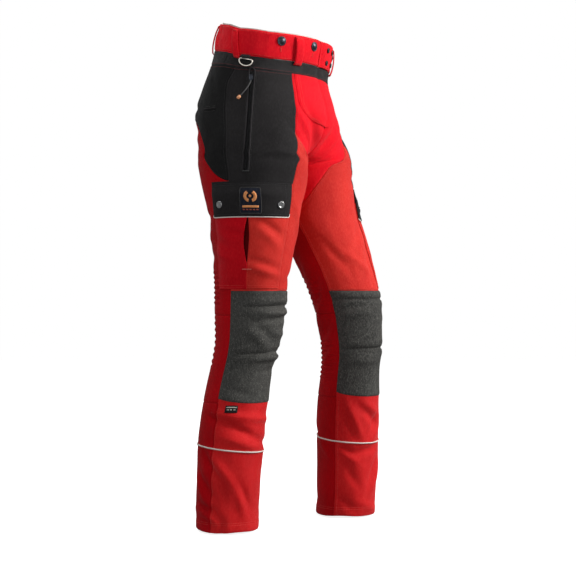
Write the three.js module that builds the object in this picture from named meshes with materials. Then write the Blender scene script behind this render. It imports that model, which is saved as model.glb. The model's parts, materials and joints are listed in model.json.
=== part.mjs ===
// Protective work trousers with cargo pockets, in millimetres: +Z up, the wearer's front towards -Y and the
// wearer's right towards -X. The origin is the middle of the waist opening, level with the band's top edge
// at the hips. Every cloth piece is a closed shell on one smooth skin, and each seam keeps a small gap.
import * as THREE from 'three';

// ---- Driving dimensions -------------------------------------------------------------------------------
const waistWidth = 320; // across the wearer, at the top of the band
const waistDepth = 214;
const hipWidth = 394;
const hipDepth = 294;
const rise = 270; // waist opening to crotch
const inseam = 762; // crotch to hem
const kneeHeight = 382; // knee line above the hem
const kneeWidth = 134;
const hemWidth = 130;
const footSpread = 294; // between the middles of the two hems
const backLift = 38; // how far the band rises at the back
const frontDip = 8;
const bandHeight = 55;
const yokeHeight = 26;
const clothThickness = 2.4;
const padThickness = 4.6; // the cut-resistant layers inside each thigh
const padDepth = 1.7; // from the cloth's inner face to the pad
const seamGap = 1; // between two cloth pieces, edge to edge
const layerGap = 0.4; // between two cloth layers, face to face
const sewnGap = 0.3; // between the cloth and a piece sewn or pressed onto it
const kneePatchHeight = 230;
const kneePatchTop = 112; // knee line to the patch's top edge
const pocketHeight = 190;
const pocketBulge = 10;
const pocketLift = 1.2; // sewn edges over the thigh's curve
const flapHeight = 71;
const flapTop = 316; // below the waist opening
const loopWidth = 18;
const loopStandOff = 8;
const loopHeight = 52;
const webbing = 1.8;
const braceButtonDiameter = 20;
const braceButtonHeight = 4;
const tabStudDiameter = 11;
const flapStudDiameter = 16;
const studHeight = 2.6;
const ringWidth = 31;
const ringDrop = 17;
const ringWire = 3;
const ringTabWidth = 18;
const zipTop = 94; // below the waist opening
const zipBottom = 286;
const zipWidth = 13;
const zipTape = 1.4;
const zipLift = 1.3; // tape over the softly curved side panel
const sliderWidth = 8;
const sliderLength = 12;
const sliderHeight = 2.6;
const pullerLength = 46;
const pullerCord = 2.4;
const pullerSlant = 28; // degrees from straight down, towards the back
const sliderSlack = 0.5; // over the tape, all along its run
const pullerRoot = 0.6; // from the slider's lower edge to the puller
const beadDiameter = 7;
const patchWidth = 41;
const patchHeight = 53;
const labelWidth = 25;
const labelHeight = 14;
const pipingDiameter = 3;
const pipingHeight = 162; // reflective line above the hem
const waistTabRoot = 3; // degrees from the front centre, towards the wearer's right
const waistTabEnd = 24; // degrees past the front centre, towards the wearer's left

const crotchZ = -rise;
const hemZ = -rise - inseam;
const kneeZ = hemZ + kneeHeight;
const yokeZ = -bandHeight - yokeHeight;
const kneeTopZ = kneeZ + kneePatchTop;
const kneeBottomZ = kneeTopZ - kneePatchHeight;
const SIDES = { right: -1, left: 1 };

// ---- Small maths ---------------------------------------------------------------------------------------
const { clamp, lerp, smoothstep, degToRad } = THREE.MathUtils;

// A smooth curve through [x, y] points given in falling order of x, as heights going down a garment are.
function curve(points) {
  const slopes = points.map((point, i) => {
    const before = points[Math.max(i - 1, 0)];
    const after = points[Math.min(i + 1, points.length - 1)];
    return (after[1] - before[1]) / (after[0] - before[0]);
  });
  return (x) => {
    if (x >= points[0][0]) return points[0][1];
    const i = points.findIndex((point) => x >= point[0]);
    if (i < 0) return points[points.length - 1][1];
    const [x0, y0] = points[i - 1];
    const [x1, y1] = points[i];
    const span = x1 - x0;
    const t = (x - x0) / span;
    const bend = (2 * t ** 3 - 3 * t ** 2 + 1) * y0 + (3 * t ** 2 - 2 * t ** 3) * y1;
    return bend + ((t ** 3 - 2 * t ** 2 + t) * slopes[i - 1] + (t ** 3 - t ** 2) * slopes[i]) * span;
  };
}

// ---- The skin: the outside of the cloth ---------------------------------------------------------------
// Down one leg: height, middle of the leg from the wearer's middle, half width, half depth, and the
// middle's front-back place in the right leg, which stands, and in the left, which steps forward.
const thighAt = (share) => lerp(crotchZ, kneeZ, share);
const shankAt = (share) => lerp(kneeZ, hemZ, share);
const kneeOut = 122; // knee's middle from the wearer's middle
const outAt = (share) => lerp(hipWidth / 4 + 2, kneeOut, share);
const halfWidthAt = (share) => lerp(hipWidth / 4 - 0.5, kneeWidth / 2, share);
const legStations = [
  [crotchZ, hipWidth / 4 + 2, hipWidth / 4 - 0.5, 122, 10, -5],
  [thighAt(0.1), hipWidth / 4 + 2, hipWidth / 4 - 1, 113, 8, -17],
  [thighAt(0.28), hipWidth / 4 + 4, hipWidth / 4 - 4, 97, 4, -38],
  [thighAt(0.42), outAt(0.3), halfWidthAt(0.39), 89, 4, -63],
  [thighAt(0.6), outAt(0.53), halfWidthAt(0.61), 79, 6, -92],
  [thighAt(0.79), outAt(0.72), halfWidthAt(0.8), 74, 9, -114],
  [kneeZ, kneeOut, kneeWidth / 2, kneeWidth / 2 - 1, 13, -121],
  [shankAt(0.15), 127, kneeWidth / 2 - 3, kneeWidth / 2 - 4, 26, -116],
  [shankAt(0.3), 132, hemWidth / 2 + 2, hemWidth / 2 + 2, 34, -111],
  [shankAt(0.51), 138, hemWidth / 2 + 4, hemWidth / 2 + 4, 41, -106],
  [shankAt(0.72), footSpread / 2 - 4, hemWidth / 2 + 2, hemWidth / 2 + 2, 45, -104],
  [hemZ, footSpread / 2, hemWidth / 2, hemWidth / 2, 46, -97],
];
const legOut = curve(legStations.map((row) => [row[0], row[1]]));
const legHalfWidth = curve(legStations.map((row) => [row[0], row[2]]));
const legHalfDepth = curve(legStations.map((row) => [row[0], row[3]]));
const legY = {
  right: curve(legStations.map((row) => [row[0], row[4]])),
  left: curve(legStations.map((row) => [row[0], row[5]])),
};

// Down the trunk: height, half width, half depth and the middle's front-back place.
const trunkStations = [
  [0, waistWidth / 2, waistDepth / 2, 0],
  [yokeZ, waistWidth / 2 + 8, waistDepth / 2 + 7, 17],
  [-130, waistWidth / 2 + 18, hipDepth / 2 - 14, 23],
  [-180, hipWidth / 2 - 10, hipDepth / 2, 25],
  [crotchZ, hipWidth / 2, hipDepth / 2 - 9, 10],
];
const trunkHalfWidth = curve(trunkStations.map((row) => [row[0], row[1]]));
const trunkHalfDepth = curve(trunkStations.map((row) => [row[0], row[2]]));
const trunkY = curve(trunkStations.map((row) => [row[0], row[3]]));
const crotchBlend = 112; // height over which the trunk divides into the two legs
const crotchY = 2; // front-back place of the crotch point

// The point at share u round one side and height z. Below the crotch u runs from the inside seam round the
// front, the outside and the back to that seam again; above it, from the front middle to the back middle.
function smoothSkin(side, u, z) {
  const legAngle = 2 * Math.PI * u;
  const ends = Math.abs(2 * u - 1) ** 4;
  const shared = ends * smoothstep(z, crotchZ - 90, crotchZ);
  const legMiddle = lerp(legY[side](z), crotchY, shared);
  const legX = legOut(z) - legHalfWidth(z) * Math.cos(legAngle);
  const legDepth = legMiddle - legHalfDepth(z) * Math.sin(legAngle);
  const trunkAngle = Math.PI * u;
  const step = legY[side](crotchZ) - trunkY(crotchZ);
  const stepShare = Math.sin(trunkAngle) ** 2 * (1 - smoothstep(z, crotchZ, crotchZ + 130));
  const trunkX = trunkHalfWidth(z) * Math.sin(trunkAngle);
  const trunkDepth = trunkY(z) - trunkHalfDepth(z) * Math.cos(trunkAngle) + step * stepShare;
  const t = clamp((z - crotchZ) / crotchBlend, 0, 1);
  const blend = lerp(smoothstep(t, 0, 1), Math.sqrt(t * (2 - t)), ends);
  const x = Math.max(lerp(legX, trunkX, blend), seamGap / 2);
  const lift = (backLift + frontDip) * ((1 - Math.cos(trunkAngle)) / 2) ** 2.5 - frontDip;
  const lifted = z + lift * smoothstep(z, -200, -20);
  return new THREE.Vector3(SIDES[side] * x, lerp(legDepth, trunkDepth, blend), lifted);
}

// The side zip's place round the hip, and the skin pressed straight along it so that its slider runs true.
const zipReach = 0.085; // as a share u, how far from the zip its straight line is felt
const zipU = curve([[yokeZ, 0.4], [-180, 0.402], [-zipBottom, 0.456], [-flapTop, 0.46]]);
function skin(side, u, z) {
  const point = smoothSkin(side, u, z);
  if (z > -zipTop || z < -zipBottom) return point;
  const top = smoothSkin(side, zipU(-zipTop), -zipTop);
  const bottom = smoothSkin(side, zipU(-zipBottom), -zipBottom);
  const share = (-zipTop - z) / (zipBottom - zipTop);
  const straight = top.lerp(bottom, share).sub(smoothSkin(side, zipU(z), z));
  const near = Math.exp(-(((u - zipU(z)) / zipReach) ** 2));
  return point.addScaledVector(straight.setZ(0), near);
}

// The skin's own directions at a point: round the leg, up, and out.
function frameAt(side, u, z) {
  const across = skin(side, Math.min(u + 0.004, 1), z).sub(skin(side, Math.max(u - 0.004, 0), z));
  const up = skin(side, u, z + 3).sub(skin(side, u, z - 3)).normalize();
  const out = new THREE.Vector3().crossVectors(across, up).multiplyScalar(SIDES[side]).normalize();
  const along = new THREE.Vector3().crossVectors(up, out).normalize();
  return { at: skin(side, u, z), along, up, out, perU: across.length() / 0.008 };
}

function onSkin(side, u, z, lift) {
  const { at, out } = frameAt(side, clamp(u, 0, 1), z);
  return at.addScaledVector(out, lift);
}

// ---- Building solids ----------------------------------------------------------------------------------
const trousers = new THREE.Group();
const finish = {
  redStretch: { color: 0xd8141c, roughness: 0.85 },
  orangeWeave: { color: 0xc03a28, roughness: 0.75 },
  darkRed: { color: 0x7a0a0e, roughness: 0.85 },
  blackShell: { color: 0x242222, roughness: 0.9 },
  kneeArmour: { color: 0x45443f, roughness: 0.95 },
  whiteFelt: { color: 0xd8d6cf, roughness: 1 },
  reflective: { color: 0xd8d2c4, roughness: 0.5 },
  gunmetal: { color: 0x5a5b5e, roughness: 0.35, metalness: 0.9 },
  blackStud: { color: 0x1a1a1c, roughness: 0.4, metalness: 0.3 },
  zipBlack: { color: 0x1c1c1e, roughness: 0.6 },
  orangeCord: { color: 0xd6875a, roughness: 0.7 },
  emblem: { color: 0x2c3850, roughness: 0.8 },
};

function addMesh(name, geometry, look) {
  const mesh = new THREE.Mesh(geometry, new THREE.MeshStandardMaterial(finish[look]));
  mesh.name = name;
  trousers.add(mesh);
  return mesh;
}

function geometryOf(points, triangles) {
  const geometry = new THREE.BufferGeometry();
  geometry.setAttribute('position', new THREE.Float32BufferAttribute(points.flatMap((p) => p.toArray()), 3));
  const insideOut = volumeOf(points, triangles) < 0;
  geometry.setIndex(triangles.flatMap(([a, b, c]) => (insideOut ? [a, c, b] : [a, b, c])));
  geometry.computeVertexNormals();
  return geometry;
}

function volumeOf(points, triangles) {
  const sixth = (t) => points[t[0]].dot(new THREE.Vector3().crossVectors(points[t[1]], points[t[2]]));
  return triangles.reduce((sum, t) => sum + sixth(t), 0) / 6;
}

// A closed shell between an outer and an inner grid of points, outer[i][j] and inner[i][j]. A closed ring
// joins its last column to its first.
function shell(outer, inner, ring = false) {
  const columns = outer.length;
  const rows = outer[0].length;
  const points = [...outer.flat(), ...inner.flat()];
  const low = columns * rows;
  const at = (i, j) => (i % columns) * rows + j;
  const triangles = [];
  const quad = (a, b, c, d) => triangles.push([a, b, c], [a, c, d]);
  const last = ring ? columns : columns - 1;
  for (let i = 0; i < last; i++) {
    for (let j = 0; j < rows - 1; j++) {
      quad(at(i, j), at(i, j + 1), at(i + 1, j + 1), at(i + 1, j));
      quad(low + at(i, j), low + at(i + 1, j), low + at(i + 1, j + 1), low + at(i, j + 1));
    }
    quad(at(i, 0), at(i + 1, 0), low + at(i + 1, 0), low + at(i, 0));
    quad(at(i + 1, rows - 1), at(i, rows - 1), low + at(i, rows - 1), low + at(i + 1, rows - 1));
  }
  for (let j = 0; j < rows - 1 && !ring; j++) {
    quad(at(0, j + 1), at(0, j), low + at(0, j), low + at(0, j + 1));
    quad(at(last, j), at(last, j + 1), low + at(last, j + 1), low + at(last, j));
  }
  return geometryOf(points, triangles);
}

// A cloth piece on one side: each column has its place u(z), its top and bottom height and how far its edge
// is drawn in. lifts gives the outer and inner height over the skin at shares p across and q down.
function clothPiece(side, columns, rows, lifts) {
  const point = (column, i, j, face) => {
    const q = j / rows;
    const z = lerp(column.top - seamGap / 2, column.bottom + seamGap / 2, q);
    const { perU } = frameAt(side, column.u(z), z);
    const p = i / (columns.length - 1);
    return onSkin(side, column.u(z) + (column.draw ?? 0) / perU, z, lifts(p, q, z)[face]);
  };
  const columnAt = (column, i, face) => Array.from({ length: rows + 1 }, (_, j) => point(column, i, j, face));
  const grid = (face) => columns.map((column, i) => columnAt(column, i, face));
  return shell(grid(0), grid(1));
}

// Evenly spaced columns between two borders, with heights that may change from one to the next.
function columnsBetween(from, to, count, top, bottom) {
  return Array.from({ length: count + 1 }, (_, i) => {
    const p = i / count;
    const draw = i === 0 ? seamGap / 2 : i === count ? -seamGap / 2 : 0;
    return { u: (z) => lerp(from(z), to(z), p), top: top(p), bottom: bottom(p), draw };
  });
}

const always = (value) => () => value;
const clothLifts = always([0, -clothThickness]);

// A round button or stud: a lathed outline standing on the skin at a place, at a lift.
const turnedSides = 12;
function turned(outline, side, u, z, lift) {
  const geometry = new THREE.LatheGeometry(outline.map(([r, h]) => new THREE.Vector2(r, h)), turnedSides);
  return stand(geometry, side, u, z, lift);
}

// Moves a geometry built with +Y as out, +X along and +Z down to its place on the skin.
function stand(geometry, side, u, z, lift) {
  const { at, along, up, out } = frameAt(side, u, z);
  const down = new THREE.Vector3().crossVectors(along, out);
  const turn = new THREE.Matrix4().makeBasis(along, out, down);
  turn.setPosition(at.addScaledVector(out, lift));
  geometry.deleteAttribute('uv');
  return geometry.applyMatrix4(turn);
}

// A closed loop of round wire through a ring of points.
function wireLoop(points, radius, sides = 6) {
  const count = points.length;
  const middle = points.reduce((sum, p) => sum.add(p), new THREE.Vector3()).divideScalar(count);
  const rings = points.map((p, i) => {
    const run = points[(i + 1) % count].clone().sub(points[(i + count - 1) % count]).normalize();
    const away = p.clone().sub(middle);
    away.addScaledVector(run, -away.dot(run)).normalize();
    const third = new THREE.Vector3().crossVectors(run, away);
    return Array.from({ length: sides }, (_, k) => {
      const angle = (2 * Math.PI * k) / sides;
      const outward = away.clone().multiplyScalar(radius * Math.cos(angle));
      return p.clone().add(outward).addScaledVector(third, radius * Math.sin(angle));
    });
  });
  const triangles = [];
  const at = (i, k) => (i % count) * sides + (k % sides);
  for (let i = 0; i < count; i++) {
    for (let k = 0; k < sides; k++) {
      triangles.push([at(i, k), at(i + 1, k), at(i + 1, k + 1)], [at(i, k), at(i + 1, k + 1), at(i, k + 1)]);
    }
  }
  return geometryOf(rings.flat(), triangles);
}

// A shape drawn across and up, given a thickness and laid flat on the skin.
function plate(shape, thickness, side, u, z, lift) {
  const settings = { depth: thickness, bevelEnabled: false, curveSegments: 6 };
  const geometry = new THREE.ExtrudeGeometry(shape, settings);
  geometry.rotateX(-Math.PI / 2);
  return stand(geometry, side, u, z, lift);
}

function roundedRectangle(width, height, radius) {
  const shape = new THREE.Shape();
  const [w, h] = [width / 2, height / 2];
  shape.moveTo(-w + radius, -h);
  shape.lineTo(w - radius, -h);
  shape.absarc(w - radius, -h + radius, radius, -Math.PI / 2, 0);
  shape.lineTo(w, h - radius);
  shape.absarc(w - radius, h - radius, radius, 0, Math.PI / 2);
  shape.lineTo(-w + radius, h);
  shape.absarc(-w + radius, h - radius, radius, Math.PI / 2, Math.PI);
  shape.lineTo(-w, -h + radius);
  shape.absarc(-w + radius, -h + radius, radius, Math.PI, 1.5 * Math.PI);
  return shape;
}

// ---- Waistband, lining and yoke -----------------------------------------------------------------------
// A ring of cloth round the waist, in steps of the same angle as every other waist piece.
const waistSteps = 32;
function waistPoint(degrees, z, lift) {
  const turn = ((degrees % 360) + 360) % 360;
  return turn <= 180 ? onSkin('right', turn / 180, z, lift) : onSkin('left', (360 - turn) / 180, z, lift);
}

function levelsBetween(top, bottom, rows) {
  return Array.from({ length: rows + 1 }, (_, j) => lerp(top, bottom, j / rows));
}

function waistRing(top, bottom, outerLift, innerLift, rows) {
  const grid = (lift) => Array.from({ length: waistSteps }, (_, i) => {
    const degrees = ((i + 0.5) * 360) / waistSteps;
    return levelsBetween(top, bottom, rows).map((z) => waistPoint(degrees, z, lift));
  });
  return shell(grid(outerLift), grid(innerLift), true);
}

const bandLift = 1.6;
const gripRise = 3; // how far the gripper strip shows above the band
const gripGap = 1.5;
const gripBottom = -34;
const gripThickness = 1.4;
const gripLift = -clothThickness - gripGap;
const band = waistRing(0, -bandHeight + seamGap / 2, bandLift, -clothThickness, 4);
addMesh('waistband', band, 'redStretch');
addMesh('waist_grip', waistRing(gripRise, gripBottom, gripLift, gripLift - gripThickness, 3), 'whiteFelt');
const yoke = waistRing(-bandHeight - seamGap / 2, yokeZ + seamGap / 2, 0, -clothThickness, 2);
addMesh('yoke', yoke, 'blackShell');

// The closing tab: the band's end, laid over its front and past the middle.
function frontPiece(fromDegrees, toDegrees, count, top, bottom, outerLift, innerLift, rows = 2) {
  const grid = (lift) => Array.from({ length: count + 1 }, (_, i) => {
    const degrees = lerp(fromDegrees, toDegrees, i / count);
    return levelsBetween(top, bottom, rows).map((z) => waistPoint(degrees, z, lift));
  });
  return shell(grid(outerLift), grid(innerLift));
}
const tabSlack = 0.5; // over the straight chords of the band
const tabInner = bandLift + layerGap + tabSlack;
const tabOuter = tabInner + clothThickness;
const tabTop = -2;
const tabBottom = -bandHeight + 2;
const closingTab = frontPiece(waistTabRoot, -waistTabEnd, 6, tabTop, tabBottom, tabOuter, tabInner);
addMesh('waist_tab', closingTab, 'redStretch');

const studOutline = (diameter, height) => [
  [0, 0], [diameter / 2, 0], [diameter / 2, height * 0.45], [diameter * 0.36, height], [0, height],
];
const tabStudAngles = [7, 19];
const tabStudLevels = [-14, -41];
for (const [row, z] of tabStudLevels.entries()) {
  for (const [column, degrees] of tabStudAngles.entries()) {
    const outline = studOutline(tabStudDiameter, studHeight);
    const stud = turned(outline, 'left', degrees / 180, z, tabOuter + layerGap);
    addMesh(`tab_stud_${row * 2 + column + 1}`, stud, 'blackStud');
  }
}

// The fly's placket, over both front pieces.
const flyHalf = 13; // degrees each side of the front middle
const flyBottom = -190;
const flyLift = 1.6;
const fly = frontPiece(flyHalf, -flyHalf, 4, yokeZ - 1, flyBottom, clothThickness + flyLift, flyLift, 8);
addMesh('fly_placket', fly, 'redStretch');

// Brace buttons: their flat fronts take the clips of a pair of braces. The inner left one clears the tab.
const buttonPlaces = [
  ['right', 'outer', 49.5],
  ['right', 'inner', 14],
  ['left', 'inner', waistTabEnd + 18],
  ['left', 'outer', waistTabEnd + 33],
];
const buttonZ = -16;
for (const [side, place, degrees] of buttonPlaces) {
  const outline = studOutline(braceButtonDiameter, braceButtonHeight);
  const button = turned(outline, side, degrees / 180, buttonZ, bandLift + sewnGap);
  addMesh(`brace_button_${side}_${place}`, button, 'gunmetal');
}

// Belt loops: webbing standing off the band, with its ends turned in against it.
const loopPlaces = [['front', 31], ['side', 95], ['back', 148]];
function beltLoop(side, degrees) {
  const half = loopHeight / 2;
  const bend = loopStandOff * 0.8;
  const shape = new THREE.Shape();
  shape.moveTo(-half, 0);
  shape.lineTo(-half + bend, loopStandOff);
  shape.lineTo(half - bend, loopStandOff);
  shape.lineTo(half, 0);
  shape.lineTo(half - webbing * 2, 0);
  shape.lineTo(half - bend - webbing * 0.6, loopStandOff - webbing);
  shape.lineTo(-half + bend + webbing * 0.6, loopStandOff - webbing);
  shape.lineTo(-half + webbing * 2, 0);
  const geometry = new THREE.ExtrudeGeometry(shape, { depth: loopWidth, bevelEnabled: false });
  geometry.translate(0, 0, -loopWidth / 2);
  geometry.rotateY(-Math.PI / 2);
  return stand(geometry, side, degrees / 180, -loopHeight / 2 - 1, bandLift + sewnGap);
}
for (const side of Object.keys(SIDES)) {
  for (const [place, degrees] of loopPlaces) {
    addMesh(`belt_loop_${side}_${place}`, beltLoop(side, degrees), 'redStretch');
  }
}

// The D-ring under the band on the wearer's right hip, and the webbing fold that carries its straight bar.
const ringU = 0.442;
const ringZ = -bandHeight - 5;
const ringLift = 4;
const ringFrame = frameAt('right', ringU, ringZ);
function ringPoint(across, down) {
  const { at, along, up, out } = ringFrame;
  return at.clone().addScaledVector(along, across).addScaledVector(up, -down).addScaledVector(out, ringLift);
}
// Straight bar, two round corners and a half-round bow.
const ringCorner = 4;
const ringHalf = ringWidth / 2 - ringWire / 2;
function ringPath() {
  const bar = [-0.6, -0.2, 0.2, 0.6].map((share) => ringPoint(share * (ringHalf - ringCorner), 0));
  const cornerAt = (way, angle) => ringPoint(
    way * (ringHalf - ringCorner + ringCorner * Math.sin(angle)), ringCorner * (1 - Math.cos(angle)));
  const turns = [0, 1, 2, 3].map((step) => (step * Math.PI) / 8);
  const bow = Array.from({ length: 13 }, (_, i) => {
    const angle = (Math.PI * i) / 12;
    const drop = (ringDrop - ringWire - ringCorner) * Math.sin(angle);
    return ringPoint(ringHalf * Math.cos(angle), ringCorner + drop);
  });
  const last = turns.map((angle) => cornerAt(-1, angle)).reverse();
  return [...bar, ...turns.map((angle) => cornerAt(1, angle)), ...bow, ...last];
}
addMesh('d_ring', wireLoop(ringPath(), ringWire / 2), 'gunmetal');
function ringTab() {
  const shape = new THREE.Shape();
  const bore = ringWire / 2 + layerGap;
  shape.absarc(0, 0, bore + webbing, 0, Math.PI * 2);
  const hole = new THREE.Path();
  hole.absarc(0, 0, bore, 0, Math.PI * 2);
  shape.holes.push(hole);
  const settings = { depth: ringTabWidth, bevelEnabled: false, curveSegments: 8 };
  const geometry = new THREE.ExtrudeGeometry(shape, settings);
  geometry.translate(0, 0, -ringTabWidth / 2);
  geometry.rotateY(-Math.PI / 2);
  return stand(geometry, 'right', ringU, ringZ, ringLift);
}
addMesh('d_ring_tab', ringTab(), 'blackShell');

// ---- Borders of the cloth pieces, as shares u round a side --------------------------------------------
const frontSeam = curve([[yokeZ, 0.21], [-180, 0.22], [crotchZ, 0.27], [-flapTop, 0.3]]);
const sideSeam = curve([[yokeZ, 0.54], [-180, 0.512], [-flapTop, 0.515]]);
const legSeam = always(0.515);
const pocketFront = always(0.302);
const pocketBack = always(0.586);
const centre = always(0);
const backCentre = always(1);
// The stretch front's lower edge falls from the side panel to the inside seam; shares run from that seam.
const stretchDepth = curve([[1, -208], [0.8, -238], [0.6, -272], [0.4, -310], [0.2, -344], [0, -364]]);
// The seat's lower edge rises from the side to the back middle.
const seatDepth = curve([[1, -170], [0.66, -178], [0.4, -206], [0.26, -246], [0.12, -300], [0, -flapTop]]);

function bulge(p, q) {
  return pocketBulge * Math.sin(Math.PI * p) ** 0.6 * (1 - q ** 6);
}
const kneeFoldRise = 62; // knee line to the top of the soft panel behind it
const padTopZ = -396;
const patchLift = 1;
const pipingSteps = 28;
const pipingSlack = 0.9; // over the straight chords of the shin
const pipingWave = 7; // how far the piping dips at the back of the leg
const pocketTopZ = -flapTop - 28;
const pocketBottomZ = pocketTopZ - pocketHeight - 2;
const pocketOuter = (p, q) => pocketLift + clothThickness + bulge(p, q);
const pocketInner = (p, q) => pocketLift + bulge(p, q);
function flapInner(p, q, z) {
  const over = pocketOuter(p, clamp((pocketTopZ - z) / (pocketTopZ - pocketBottomZ), 0, 1));
  return pocketLift + over * smoothstep(q, 0, 0.34);
}

for (const side of Object.keys(SIDES)) {
  // Hips: the stretch front, the soft-shell side and seat.
  const hip = columnsBetween(centre, frontSeam, 6, always(yokeZ), stretchDepth);
  addMesh(`front_hip_${side}`, clothPiece(side, hip, 9, clothLifts), 'redStretch');
  const flank = columnsBetween(frontSeam, sideSeam, 8, always(yokeZ), always(-flapTop));
  addMesh(`side_panel_${side}`, clothPiece(side, flank, 9, clothLifts), 'blackShell');
  const seat = columnsBetween(sideSeam, backCentre, 10, always(yokeZ), seatDepth);
  addMesh(`seat_${side}`, clothPiece(side, seat, 9, clothLifts), 'blackShell');

  // Thigh: the front passes the side panel's front edge, so two columns meet there at two heights.
  const besideHip = columnsBetween(centre, frontSeam, 6, stretchDepth, always(kneeTopZ));
  besideHip[6].draw = -4.2;
  besideHip[6].top -= 4.5;
  const underFlank = columnsBetween(frontSeam, legSeam, 6, always(-flapTop), always(kneeTopZ));
  underFlank[0].draw = -3.4;
  underFlank[0].top -= 1;
  const thigh = [...besideHip, ...underFlank];
  addMesh(`thigh_front_${side}`, clothPiece(side, thigh, 12, clothLifts), 'orangeWeave');
  const kneeFoldTop = kneeZ + kneeFoldRise;
  const back = columnsBetween(legSeam, backCentre, 10, seatDepth, always(kneeFoldTop));
  addMesh(`thigh_back_${side}`, clothPiece(side, back, 12, clothLifts), 'darkRed');
  const pad = columnsBetween(always(0.06), always(0.49), 9, always(padTopZ), always(kneeBottomZ + 8));
  const padLifts = always([-clothThickness - padDepth, -clothThickness - padDepth - padThickness]);
  addMesh(`protective_pad_${side}`, clothPiece(side, pad, 10, padLifts), 'whiteFelt');

  // Knee and shin. The knee patch is thicker cloth, proud of the thigh and the shin.
  const patch = columnsBetween(centre, legSeam, 10, always(kneeTopZ), always(kneeBottomZ));
  const patchLifts = always([patchLift, -clothThickness]);
  addMesh(`knee_patch_${side}`, clothPiece(side, patch, 7, patchLifts), 'kneeArmour');
  const fold = columnsBetween(legSeam, backCentre, 10, always(kneeFoldTop), always(kneeBottomZ));
  addMesh(`knee_back_${side}`, clothPiece(side, fold, 6, clothLifts), 'darkRed');
  const shin = columnsBetween(centre, legSeam, 10, always(kneeBottomZ), always(hemZ));
  addMesh(`shin_front_${side}`, clothPiece(side, shin, 7, clothLifts), 'orangeWeave');
  const calf = columnsBetween(legSeam, backCentre, 10, always(kneeBottomZ), always(hemZ));
  addMesh(`calf_back_${side}`, clothPiece(side, calf, 7, clothLifts), 'darkRed');
  const pipingZ = (u) => hemZ + pipingHeight + pipingWave * (1 - Math.cos(2 * Math.PI * (u - 0.2)));
  const pipingRise = layerGap + pipingDiameter / 2 + pipingSlack;
  const turns = Array.from({ length: pipingSteps }, (_, i) => i / pipingSteps);
  const pipingPath = turns.map((u) => onSkin(side, u, pipingZ(u), pipingRise));
  addMesh(`piping_${side}`, wireLoop(pipingPath, pipingDiameter / 2), 'reflective');

  // Cargo pocket: a pouch open at its top, under a flap that hinges along its upper seam.
  const pouch = columnsBetween(pocketFront, pocketBack, 12, always(pocketTopZ), always(pocketBottomZ));
  const pouchLifts = (p, q) => [pocketOuter(p, q), pocketInner(p, q)];
  addMesh(`cargo_pocket_${side}`, clothPiece(side, pouch, 8, pouchLifts), 'redStretch');
  const flap = columnsBetween(pocketFront, pocketBack, 12, always(-flapTop), always(-flapTop - flapHeight));
  const flapLifts = (p, q, z) => [flapInner(p, q, z) + clothThickness, flapInner(p, q, z)];
  addMesh(`cargo_flap_${side}`, clothPiece(side, flap, 6, flapLifts), 'blackShell');
  const studPlaces = { front: 0.347, back: 0.544 };
  const studZ = -flapTop - 45;
  const flapShare = (u) => (u - pocketFront()) / (pocketBack() - pocketFront());
  const flapFace = (u, z) => flapInner(flapShare(u), (-flapTop - z) / flapHeight, z) + clothThickness;
  for (const [place, u] of Object.entries(studPlaces)) {
    const stud = studOutline(flapStudDiameter, studHeight);
    const cap = turned(stud, side, u, studZ, flapFace(u, studZ) + sewnGap * 2);
    addMesh(`flap_stud_${side}_${place}`, cap, 'gunmetal');
  }

  // Side zip: tape, slider and a corded puller with a bead, lying down the hip.
  const zipColumns = [-1, 0, 1].map((share) => ({
    u: zipU, top: -zipTop + 8, bottom: -zipBottom - 8, draw: (share * zipWidth) / 2,
  }));
  const tapeLifts = always([zipLift + zipTape, zipLift]);
  addMesh(`side_zip_${side}`, clothPiece(side, zipColumns, 9, tapeLifts), 'zipBlack');
  const sliderZ = -zipTop - sliderLength / 2;
  const sliderLift = zipLift + zipTape + layerGap + sliderSlack;
  const sliderShape = roundedRectangle(sliderWidth, sliderLength, 2);
  const slider = plate(sliderShape, sliderHeight, side, zipU(sliderZ), sliderZ, sliderLift);
  addMesh(`zip_slider_${side}`, slider, 'gunmetal');
  const bead = beadDiameter / 2;
  const pullerOutline = [
    [0, 0], [pullerCord / 2, 0], [pullerCord / 2, pullerLength - beadDiameter - 3],
    [bead * 0.8, pullerLength - beadDiameter], [bead, pullerLength - bead], [bead * 0.8, pullerLength - 1],
    [0, pullerLength],
  ];
  const puller = new THREE.LatheGeometry(pullerOutline.map(([r, h]) => new THREE.Vector2(r, h)), 8);
  puller.rotateX(Math.PI / 2);
  puller.rotateY(degToRad(pullerSlant) * SIDES[side]);
  puller.translate(0, 0, sliderLength / 2 + pullerRoot);
  const pullerLift = sliderLift + sliderHeight + pullerCord / 2 + 0.1;
  addMesh(`zip_puller_${side}`, stand(puller, side, zipU(sliderZ), sliderZ, pullerLift), 'orangeCord');
}

// A woven emblem on the right flap and a small label under the right knee patch.
const patchU = 0.44;
const patchZ = -flapTop - 38;
const patchOnFlap = (patchU - pocketFront()) / (pocketBack() - pocketFront());
const patchFace = flapInner(patchOnFlap, 0.5, patchZ) + clothThickness + layerGap;
const emblem = sewnPatch('right', patchU, patchZ, patchWidth, patchHeight, patchFace);
addMesh('emblem_patch', emblem, 'emblem');
const labelZ = kneeBottomZ - 4 - labelHeight / 2;
const label = sewnPatch('right', patchU, labelZ, labelWidth, labelHeight, sewnGap * 2);
addMesh('knee_label', label, 'blackShell');

// A small piece of cloth of a given size, laid on the skin.
function sewnPatch(side, u, z, width, height, lift) {
  const columns = [-0.5, -0.25, 0, 0.25, 0.5].map((share) => (
    { u: always(u), top: z + height / 2, bottom: z - height / 2, draw: share * width }));
  return clothPiece(side, columns, 4, always([lift + 1, lift]));
}

export default trousers;
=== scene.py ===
"""Chainsaw protective trousers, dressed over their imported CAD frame. Metres, +Z up, front to -Y."""
import json
import math

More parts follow.
